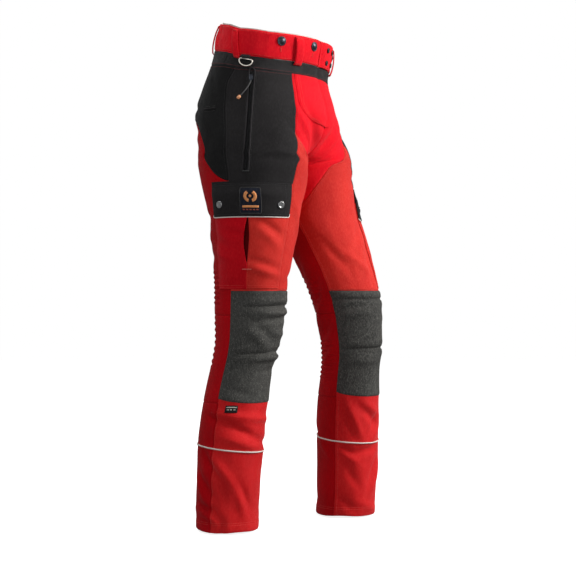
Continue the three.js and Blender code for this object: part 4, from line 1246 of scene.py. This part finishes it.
tab = lay(tab_place, crowded(0.10, 0.003), crowded(0.0535, 0.003), red_stretch, "closing_tab_cloth",
          0.0022)
declare_cut(tab_place(*np.meshgrid(np.linspace(0, 1, 16), np.linspace(0, 1, 12), indexing="ij"))[0])
seated(tab, "closing_tab", "waist_tab")
tab_t = np.linspace(0.04, 0.96, 40)
tab_nose = tab_w[1] - 0.014 * np.abs(2 * tab_t - 1) ** 3 - 0.012
tab_run = np.linspace(0.01, tab_w[1] - 0.03, 60)
tab_rows = [("left", tab_nose, -0.001 - 0.0535 * tab_t, 0.0038)]
tab_rows += [("left", tab_run, np.full(60, z), 0.0038) for z in (-0.005, -0.0505)]
sew("tab_stitches", "closing_tab", tab_rows, red_thread)

STUD = ((0, 0.0), (0.0054, 0.0), (0.0056, 0.0006), (0.0054, 0.0015), (0.0046, 0.0021), (0.0036, 0.0022),
        (0.0028, 0.0016), (0.0016, 0.0015), (0, 0.0018))
for number in range(1, 5):
    u, z = node_spot(f"tab_stud_{number}", "left")
    stud = turned(f"tab_stud_{number}_cap", STUD, upright("left", u, z, 0.0040), black_lacquer)
    seated(stud, "closing_tab", f"tab_stud_{number}")

# ---- Brace buttons ------------------------------------------------------------------------------------
# Domed gunmetal buttons on a rolled rim, riveted through the band, with a buttonhole stitch under each.
BUTTON = ((0, 0.0), (0.0094, 0.0), (0.0100, 0.0006), (0.0100, 0.0014), (0.0094, 0.0021), (0.0082, 0.0022),
          (0.0076, 0.0018), (0.0068, 0.0022), (0.0054, 0.0032), (0.0034, 0.0040), (0.0014, 0.0043),
          (0, 0.0043))
for side in SIDES:
    for place_name in ("outer", "inner"):
        node = f"brace_button_{side}_{place_name}"
        u, z = node_spot(node, side)
        button = turned(node + "_dome", BUTTON, upright(side, u, z, 0.0012), gunmetal)
        seated(button, "trousers", node)
        sew(f"button_bartack_{side}_{place_name}", "trousers",
            [(side, np.full(12, u + 0.002), np.linspace(z - 0.013, z - 0.022, 12), 0.0013)], red_thread,
            pitch=0.0011, length=0.0012, girth=0.0022)


# ---- Cargo pockets ------------------------------------------------------------------------------------
# A bellows pocket on each thigh: a stiff weave in front, stretch cloth behind, and between them a slit
# that gapes over a gusset coloured near black as painted shade. The slit ends in a crossed bartack, and
# the pouch stands off the leg.
POCKET_TOP, POCKET_LOW = -0.344, -0.5345
pocket_span = {s: [float(k(skins[s].share_of(points_of(f"cargo_pocket_{s}"))[0])) for k in (np.min, np.max)]
               for s in SIDES}


def pouch_lift(p, q):
    """Height of the pouch over the leg: p from its front edge to its back one, q down it."""
    full = np.clip(np.sin(math.pi * np.clip(p, 0, 1)), 0, 1) ** 0.5
    sag = 0.85 + 0.15 * np.sin(math.pi * np.clip(q, 0, 1))
    soft = 0.0008 * np.sin(11 * p + 7 * q) * np.sin(5 * q - 3 * p + 1) + 0.0005 * np.sin(23 * q + 9 * p)
    return 0.0012 + (0.0098 * sag + soft) * full * (1 - np.clip(q, 0, 1) ** 7)


def pocket_u(side, p):
    first, last = pocket_span[side]
    return first + (last - first) * p


def slit(q):
    """How far the gape has opened, from its top under the flap to its bartack."""
    return np.clip(np.sin(math.pi * np.clip((q - 0.17) / 0.59, 0, 1)), 0, 1) ** 1.2


def pocket_part(name, side, near, far, lift, material, pinch=0.0):
    def place(s, t):
        p = near(t) + (far(t) - near(t)) * s
        z = POCKET_TOP + (POCKET_LOW - POCKET_TOP) * t
        rim = np.minimum(np.minimum(s * np.abs(far(t) - near(t)), (1 - s) * np.abs(far(t) - near(t))) * 0.17,
                         (1 - t) * 0.19)
        rolled = lift(p, t) + 0.0006 * np.exp(-(((rim - 0.0024) / 0.0018) ** 2))
        rolled = rolled - pinch * np.exp(-rim / 0.0012)
        return skins[side].at(pocket_u(side, p), z, rolled), np.stack([p * 0.17, z], -1)

    piece = lay(place, crowded(0.09, 0.003), crowded(0.19, 0.0035), material, name, 0.0012)
    grid = np.meshgrid(np.linspace(0, 1, 20), np.linspace(0, 1, 30), indexing="ij")
    declare_cut(place(*grid)[0])
    return seated(piece, "trousers")


def slit_front(t):
    return 0.515 - 0.018 * slit(t)


def slit_back(t):
    return 0.505 + 0.052 * slit(t)


for side in SIDES:
    front = pocket_part(f"pocket_front_{side}", side, lambda t: 0.0 * t, slit_front, pouch_lift, orange_weave,
                        0.0009)
    pocket_part(f"pocket_back_{side}", side, slit_back, lambda t: 1.0 + 0.0 * t,
                lambda p, q: pouch_lift(p, q) + 0.0014 * np.exp(-(((p - slit_back(q)) / 0.03) ** 2)),
                pocket_weave, 0.0004)
    pocket_part(f"pocket_gusset_{side}", side, lambda t: slit_front(t) - 0.06,
                lambda t: slit_back(t) + 0.06, lambda p, q: pouch_lift(p, q) * 0.45, gusset_painted_shade)
    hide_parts(f"cargo_pocket_{side}")
    rows = []
    q = np.linspace(0.02, 0.965, 90)
    pocket_z = POCKET_TOP + (POCKET_LOW - POCKET_TOP) * q
    for p in (0.016, 0.040, 0.984):
        rows.append((side, pocket_u(side, np.full(90, p)), pocket_z, pouch_lift(p, q) + 0.0004))
    for q_row in (0.984, 0.960):
        p = np.linspace(0.01, 0.99, 110)
        level = np.full(110, POCKET_TOP + (POCKET_LOW - POCKET_TOP) * q_row)
        rows.append((side, pocket_u(side, p), level, pouch_lift(p, q_row) + 0.0003))
    seam_q = np.linspace(0.79, 0.955, 40)
    seam_z = POCKET_TOP + (POCKET_LOW - POCKET_TOP) * seam_q
    for p in (0.498, 0.532):
        rows.append((side, pocket_u(side, np.full(40, p)), seam_z, pouch_lift(p, seam_q) + 0.0005))
    sew(f"pocket_stitches_{side}", "trousers", rows, red_thread)
    bar_p = np.linspace(0.45, 0.57, 24)
    bar_z = np.full(24, POCKET_TOP + (POCKET_LOW - POCKET_TOP) * 0.785)
    bar_row = (side, pocket_u(side, bar_p), bar_z, pouch_lift(bar_p, 0.785) + 0.0012)
    sew(f"pocket_bartack_{side}", "trousers", [bar_row], pink_thread, pitch=0.0008,
        length=0.0010, girth=0.0024)
    rib_lift = pouch_lift(0.51, seam_q) + 0.0008
    ridge = tube(f"pocket_seam_{side}", skins[side].at(pocket_u(side, np.full(40, 0.512)), seam_z, rib_lift),
                 0.0009, orange_weave)
    seated(ridge, "trousers")

# ---- Pocket flaps -------------------------------------------------------------------------------------
# A black soft-shell flap over each pocket, lined, with a pale reflective piping along its lower edge and
# two press studs. The wearer's right one carries a woven badge: an open ring over two bars.
FLAP_HIGH, FLAP_LOW = -0.3145, -0.3868
FLAP_WIDE = 0.17
CORNER = 0.007
WASHER = ((0, 0), (0.0086, 0), (0.0090, 0.0004), (0.0086, 0.0009), (0, 0.0010))
CAP = ((0, 0.0007), (0.0070, 0.0007), (0.0074, 0.0013), (0.0071, 0.0021), (0.0062, 0.0026),
       (0.0050, 0.0025), (0.0040, 0.0018), (0.0026, 0.0016), (0, 0.0018))


def flap_inset(drop):
    """How far the sides draw in at a height over the lower edge, for the rounded corners."""
    near = np.clip(CORNER - drop, 0, CORNER)
    return CORNER - np.sqrt(np.clip(CORNER ** 2 - near ** 2, 0, None))


def flap_spot(side, s, t):
    """Share, level and height of the flap's face."""
    z = FLAP_HIGH + (FLAP_LOW - FLAP_HIGH) * t
    inset = flap_inset(z - FLAP_LOW) / FLAP_WIDE
    p = inset + (1 - 2 * inset) * s
    q = np.clip((POCKET_TOP - z) / (POCKET_TOP - POCKET_LOW), 0, 1)
    full = pouch_lift(p, q) + 0.0022
    rim = np.minimum(np.minimum(p, 1 - p) * FLAP_WIDE, z - FLAP_LOW)
    lift = 0.0012 + (full - 0.0012) * ease((-0.314 - z) / 0.030) + 0.0005 - 0.0010 * np.exp(-rim / 0.0016)
    wave = 0.0007 * np.sin(9 * s + SIDES[side]) * t
    return pocket_u(side, p), z, lift + wave


def on_flap(side, s, t, extra):
    u, z, lift = flap_spot(side, s, t)
    return (side, u, z, lift + extra)


for side in SIDES:
    def flap_place(s, t, side=side):
        u, z, lift = flap_spot(side, s, t)
        return skins[side].at(u, z, lift), np.stack([s * 0.17, z], -1)

    flap = lay(flap_place, crowded(0.17, 0.0026), crowded(0.072, 0.0022), flap_shell, f"flap_cloth_{side}",
               0.0022)
    grid = np.meshgrid(np.linspace(0, 1, 30), np.linspace(0, 1, 16), indexing="ij")
    declare_cut(flap_place(*grid)[0])
    seated(flap, f"{side}_flap", f"cargo_flap_{side}")
    down, along = np.linspace(0.90, 1, 14), np.linspace(0, 1, 90)
    s = np.concatenate([np.zeros(13), along, np.ones(13)])
    t = np.concatenate([down[:-1], np.ones(90), down[::-1][1:]])
    u, z, lift = flap_spot(side, s, t)
    edging = tube(f"flap_piping_{side}", skins[side].at(u, z - 0.0006, lift - 0.0006), 0.00125, reflective)
    seated(edging, f"{side}_flap")
    s, t = np.linspace(0.015, 0.985, 90), np.linspace(0.06, 0.93, 50)
    rows = [on_flap(side, s, np.full(90, level), 0.0002) for level in (0.07, 0.115, 0.935)]
    rows += [on_flap(side, np.full(50, share), t, 0.0002) for share in (0.022, 0.094, 0.978)]
    sew(f"flap_stitches_{side}", f"{side}_flap", rows, black_thread)
    for place_name in ("front", "back"):
        node = f"flap_stud_{side}_{place_name}"
        u, z = node_spot(node, side)
        s_at = (u - pocket_span[side][0]) / (pocket_span[side][1] - pocket_span[side][0])
        t_at = (z - FLAP_HIGH) / (FLAP_LOW - FLAP_HIGH)
        face = float(flap_spot(side, np.array(s_at), np.array(t_at))[2])
        washer = turned(node + "_washer", WASHER, upright(side, u, z, face), black_lacquer)
        seated(washer, f"{side}_flap")
        cap = turned(node + "_cap", CAP, upright(side, u, z, face), stud_metal)
        seated(cap, f"{side}_flap", node)

patch_u, patch_z = node_spot("emblem_patch", "right")


def badge_lift(u, z, extra):
    """A height over the flap's face for what is sewn to it."""
    p = (u - pocket_span["right"][0]) / (pocket_span["right"][1] - pocket_span["right"][0])
    return flap_spot("right", p, (z - FLAP_HIGH) / (FLAP_LOW - FLAP_HIGH))[2] + extra


def on_badge(name, bm, material, extra):
    badge_map(bm)
    flat = np.array([v.co for v in bm.verts])
    u = patch_u + flat[:, 0] / float(skins["right"].around(patch_z))
    z = patch_z + flat[:, 1]
    for vert, point in zip(bm.verts, skins["right"].at(u, z, badge_lift(u, z, extra + flat[:, 2]))):
        vert.co = point
    bmesh.ops.recalc_face_normals(bm, faces=bm.faces)
    piece = new_piece(name, bm, material)
    thick = piece.modifiers.new("cloth_thickness", "SOLIDIFY")
    thick.thickness, thick.offset = 0.0005, -1
    return seated(piece, "right_flap")


bm = bmesh.new()
box_patch(bm, 0.0405, 0.0525, 0.0008, cuts=24, corner=0.0012)
badge_piece = on_badge("badge_cloth", bm, badge, 0.0002)
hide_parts("emblem_patch")
corner_turn = np.linspace(0, 2 * math.pi, 97)[:-1]
edge_x = 0.0198 * np.sign(np.cos(corner_turn)) * np.abs(np.cos(corner_turn)) ** 0.12
edge_y = 0.0258 * np.sign(np.sin(corner_turn)) * np.abs(np.sin(corner_turn)) ** 0.12
edge_u = patch_u + edge_x / float(skins["right"].around(patch_z))
edge_z = patch_z + edge_y
merrow = tube("badge_border", skins["right"].at(edge_u, edge_z, badge_lift(edge_u, edge_z, 0.0006)), 0.0009,
              black_thread, closed=True)
seated(merrow, "right_flap")
ARC_Y = 0.0085
for way in (-1, 1):
    bm = bmesh.new()
    arc = [bm.verts.new((math.sin(turn) * radius * way, ARC_Y - math.cos(turn) * radius, 0.0))
           for radius, turn in ((0.0066, 0.42), (0.0126, 0.30))]
    rim = bm.edges.new(arc)
    bmesh.ops.spin(bm, geom=arc + [rim], axis=(0, 0, way), cent=(0, ARC_Y, 0), angle=2.25, steps=18)
    bmesh.ops.subdivide_edges(bm, edges=bm.edges, cuts=1, use_grid_fill=True)
    for vert in bm.verts:
        radius = (vert.co - Vector((0, ARC_Y, 0))).length
        vert.co.z = 0.0009 * max(0.0, 1 - ((radius - 0.0096) / 0.0034) ** 2)
    on_badge(f"badge_arc_{'left' if way < 0 else 'right'}", bm, orange_thread, 0.0009)
bm = bmesh.new()
box_patch(bm, 0.0040, 0.0040, 0.0009, y=ARC_Y, turn=math.pi / 4, cuts=6)
box_patch(bm, 0.030, 0.0036, 0.0008, y=-0.0125, cuts=16)
on_badge("badge_mark", bm, orange_thread, 0.0009)
bm = bmesh.new()
for step in (-0.0125, -0.0062, 0.0, 0.0062, 0.0125):
    box_patch(bm, 0.0040, 0.0022, 0.0006, x=step, y=-0.0184, cuts=4)
on_badge("badge_dashes", bm, rust_thread, 0.0009)

# ---- Side zips ----------------------------------------------------------------------------------------
# A coil zip let into each side panel: a twill tape between two soft lips that meet in an arch above it and
# a bar below it, with a cast slider, and a cord puller that hangs back and ends in a moulded bead.
BEAD = ((0, -0.0050), (0.0016, -0.0049), (0.0031, -0.0038), (0.0034, -0.0016), (0.0034, 0.0016),
        (0.0028, 0.0036), (0, 0.0044))
CORD_SWAY, CORD_DROP = 0.0225, 0.0365
for side in SIDES:
    skin = skins[side]
    points = points_of(f"side_zip_{side}")
    share, level = skin.share_of(points)
    zip_high, zip_low = float(level.max()), float(level.min())
    ends = [points[np.abs(level - z) < 0.012].mean(0) for z in (zip_low, zip_high)]
    straight = ends[0] + (ends[1] - ends[0]) * np.linspace(-0.06, 1.06, 40)[:, None]
    mids, zs = skin.share_of(straight)

    def zip_u(z, zs=zs, mids=mids):
        return np.interp(z, zs, mids)

    half = 0.0058

    def tape_place(s, t, side=side, zip_u=zip_u, top=zip_high, low=zip_low):
        z = top + (low - top) * t
        across = (2 * s - 1) * half
        return (skins[side].at(zip_u(z) + across / skins[side].around(z), z, 0.0011 + 0.0 * s),
                np.stack([across, z], -1))

    tape = lay(tape_place, np.linspace(0, 1, 9), np.linspace(0, 1, 71), tape_weave, f"zip_tape_{side}",
               0.0008)
    declare_cut(tape_place(*np.meshgrid(np.linspace(0, 1, 5), np.linspace(0, 1, 30), indexing="ij"))[0])
    seated(tape, "trousers", f"side_zip_{side}")
    z = np.linspace(zip_high - 0.002, zip_low + 0.003, 160)
    sew(f"zip_teeth_{side}", "trousers", [(side, zip_u(z), z, 0.0016)], black_lacquer,
        pitch=0.0017, length=0.0010, girth=0.0046)
    turn = np.linspace(0, math.pi, 17)
    run = np.linspace(zip_low - 0.002, zip_high, 60)
    across = np.concatenate([np.full(60, -half - 0.0012), -(half + 0.0012) * np.cos(turn)[1:-1],
                             np.full(60, half + 0.0012)])
    height = np.concatenate([run, zip_high + 0.0085 * np.sin(turn)[1:-1], run[::-1]])
    lips = tube(f"zip_lips_{side}", skin.at(zip_u(height) + across / skin.around(height), height, 0.0012),
                0.0020, lip_shell)
    seated(lips, "trousers")
    ends = []
    for level_at, reach in ((zip_low - 0.0035, 0.0085), (zip_high + 0.0105, 0.0050)):
        shares = np.linspace(-reach, reach, 20) / float(skin.around(level_at)) + zip_u(level_at)
        ends.append((side, shares, np.full(20, level_at), 0.0016))
    for step in (-0.0115, 0.0115):
        ends.append((side, zip_u(run) + step / skin.around(run), run, 0.0003))
    sew(f"zip_stitches_{side}", "trousers", ends, black_thread)
    bar_u = zip_u(zip_low) + np.linspace(-0.0078, 0.0078, 9) / skin.around(zip_low)
    bar = tube(f"zip_bar_{side}", skin.at(bar_u, np.full(9, zip_low - 0.0012), 0.0020), 0.0016, black_thread)
    seated(bar, "trousers")

    slider_u, slider_z = node_spot(f"zip_slider_{side}", side)
    bm = bmesh.new()
    body = bmesh.ops.create_cube(bm, size=1)["verts"]
    bmesh.ops.scale(bm, vec=(0.0086, 0.0125, 0.0030), verts=body)
    bmesh.ops.subdivide_edges(bm, edges=bm.edges, cuts=3, use_grid_fill=True)
    for vert in bm.verts:
        waist = 1 - 0.30 * max(0.0, -vert.co.y / 0.00625) ** 1.5 - 0.10 * (vert.co.y / 0.00625) ** 2
        vert.co.x *= waist
        vert.co.z += 0.0004 * (1 - (vert.co.y / 0.00625) ** 2)
    bmesh.ops.bevel(bm, geom=[e for e in bm.edges if e.calc_face_angle(0) > 1.0], offset=0.0005, segments=2,
                    affect="EDGES", profile=0.5, material=-1)
    stirrup = bmesh.ops.create_cube(bm, size=1)["verts"]
    bmesh.ops.scale(bm, vec=(0.0028, 0.0082, 0.0016), verts=stirrup)
    bmesh.ops.translate(bm, vec=(0, 0.0004, 0.0024), verts=stirrup)
    bmesh.ops.transform(bm, matrix=upright(side, slider_u, slider_z, 0.0033), verts=bm.verts)
    runner = new_piece(f"zip_runner_{side}", bm, gunmetal)
    bevel = runner.modifiers.new("soft_edges", "BEVEL")
    bevel.width, bevel.segments = 0.0004, 2
    seated(runner, f"{side}_slider", f"zip_slider_{side}")

    hinge = next(j["pos_m"] for j in frame["joints"] if j["name"] == f"{side}_puller_hinge")
    hung = upright(side, slider_u, slider_z, 0.0033)
    hung.translation = Vector(hinge)
    back = -1.0 if side == "right" else 1.0
    reach = np.linspace(0, 1, 25)
    route = []
    for share in reach:
        bow = 0.0012 * math.sin(math.pi * share) - 0.0010 * share
        route.append(hung @ Vector((back * CORD_SWAY * share ** 1.5, -CORD_DROP * share, bow)))
    pull = tube(f"puller_cord_{side}", route, 0.0012, puller_cord)
    seated(pull, f"{side}_puller", f"zip_puller_{side}")
    tip = route[-1]
    away = (route[-1] - route[-3]).normalized()
    hang = Matrix.Translation(tip) @ away.to_track_quat("Z", "Y").to_matrix().to_4x4()
    bead = turned(f"puller_bead_{side}", BEAD, hang, bead_with_painted_highlights, steps=24)
    seated(bead, f"{side}_puller")

# ---- Ring, its tab, and the shin piping ---------------------------------------------------------------
# A steel D-ring hangs from a folded black tab under the band on the wearer's right.
tab_u, tab_z = node_spot("d_ring_tab", "right")
fold_w = 0.0105 / float(skins["right"].around(tab_z))


def fold_place(s, t):
    z = -0.0535 - 0.0135 * t
    u = tab_u + fold_w * (2 * s - 1)
    bulge = 0.0012 + 0.0042 * np.clip(np.sin(math.pi * np.clip(t * 0.94 + 0.02, 0, 1)), 0, 1) ** 0.6
    return skins["right"].at(u, z, bulge), np.stack([s * 0.021, z], -1)


fold_tab = lay(fold_place, np.linspace(0, 1, 11), np.linspace(0, 1, 17), rib_twill, "ring_tab",
               0.0014)
declare_cut(fold_place(*np.meshgrid(np.linspace(0, 1, 9), np.linspace(0, 1, 15), indexing="ij"))[0])
seated(fold_tab, "trousers", "d_ring_tab")
ring_node = nodes["d_ring"]
ring_node.data.materials.clear()
ring_node.data.materials.append(ring_steel)

PIPING_Z, PIPING_DIP = HEM_Z + 0.162, 0.007
for side in SIDES:
    u = np.linspace(0, 1, 121)[:-1]
    z = PIPING_Z + PIPING_DIP * (1 - np.cos(2 * math.pi * (u - 0.2)))
    cord = tube(f"shin_piping_{side}", skins[side].at(u, z, 0.0010), 0.0015, reflective,
                closed=True)
    seated(cord, f"{side}_shin", f"piping_{side}")
    for step in (0.0032, -0.0032):
        sew(f"piping_stitches_{side}_{'over' if step > 0 else 'under'}", f"{side}_shin",
            [(side, np.append(u, 1.0), np.append(z, z[0]) + step, 0.0004)], red_thread)

label_u, label_z = node_spot("knee_label", "right")
bm = bmesh.new()
box_patch(bm, 0.0255, 0.0150, 0.0007, cuts=12, corner=0.0004)
wrapped(bm, "right", label_u, label_z, 0.0013)
badge_map(bm)
tag = new_piece("shin_label", bm, tape_weave)
tag_thickness = tag.modifiers.new("cloth_thickness", "SOLIDIFY")
tag_thickness.thickness, tag_thickness.offset = 0.0006, -1
seated(tag, "right_shin", "knee_label")
bm = bmesh.new()
box_patch(bm, 0.021, 0.0022, 0.0007, y=0.0036, cuts=10)
for step in (-0.007, -0.001, 0.006):
    box_patch(bm, 0.0045, 0.0016, 0.0006, x=step, y=-0.0012, cuts=4)
wrapped(bm, "right", label_u, label_z, 0.0022)
seated(new_piece("label_bars", bm, pale_thread), "right_shin")

# ---- Back pocket welt and protective pads --------------------------------------------------------------
# A short welt pocket on the seat. Inside each leg hangs a quilted pad of felt, from the thigh to the shin.
for side in SIDES:
    u = np.linspace(0.575, 0.665, 30)
    z = np.full(30, -0.163)
    welt = tube(f"seat_welt_{side}", skins[side].at(u, z, 0.0006), 0.0016, black_shell)
    seated(welt, "trousers")
    sew(f"welt_stitches_{side}", "trousers", [(side, u, z - 0.0052, 0.0004), (side, u, z + 0.0042, 0.0004)],
        grey_thread)
    node = f"protective_pad_{side}"
    share, level = skins[side].share_of(points_of(node))
    share = np.where(share > 0.9, share - 1, share)
    pad = panel(f"pad_{side}", side, constant(float(share.min())), constant(float(share.max())),
                constant(float(level.max())), constant(float(level.min())), felt,
                lambda s, t, u, z: -0.0030 - 0.0004 * np.sin(40 * z) ** 2, tuck=0.0, thickness=0.0015)
    bent(pad, side, node)
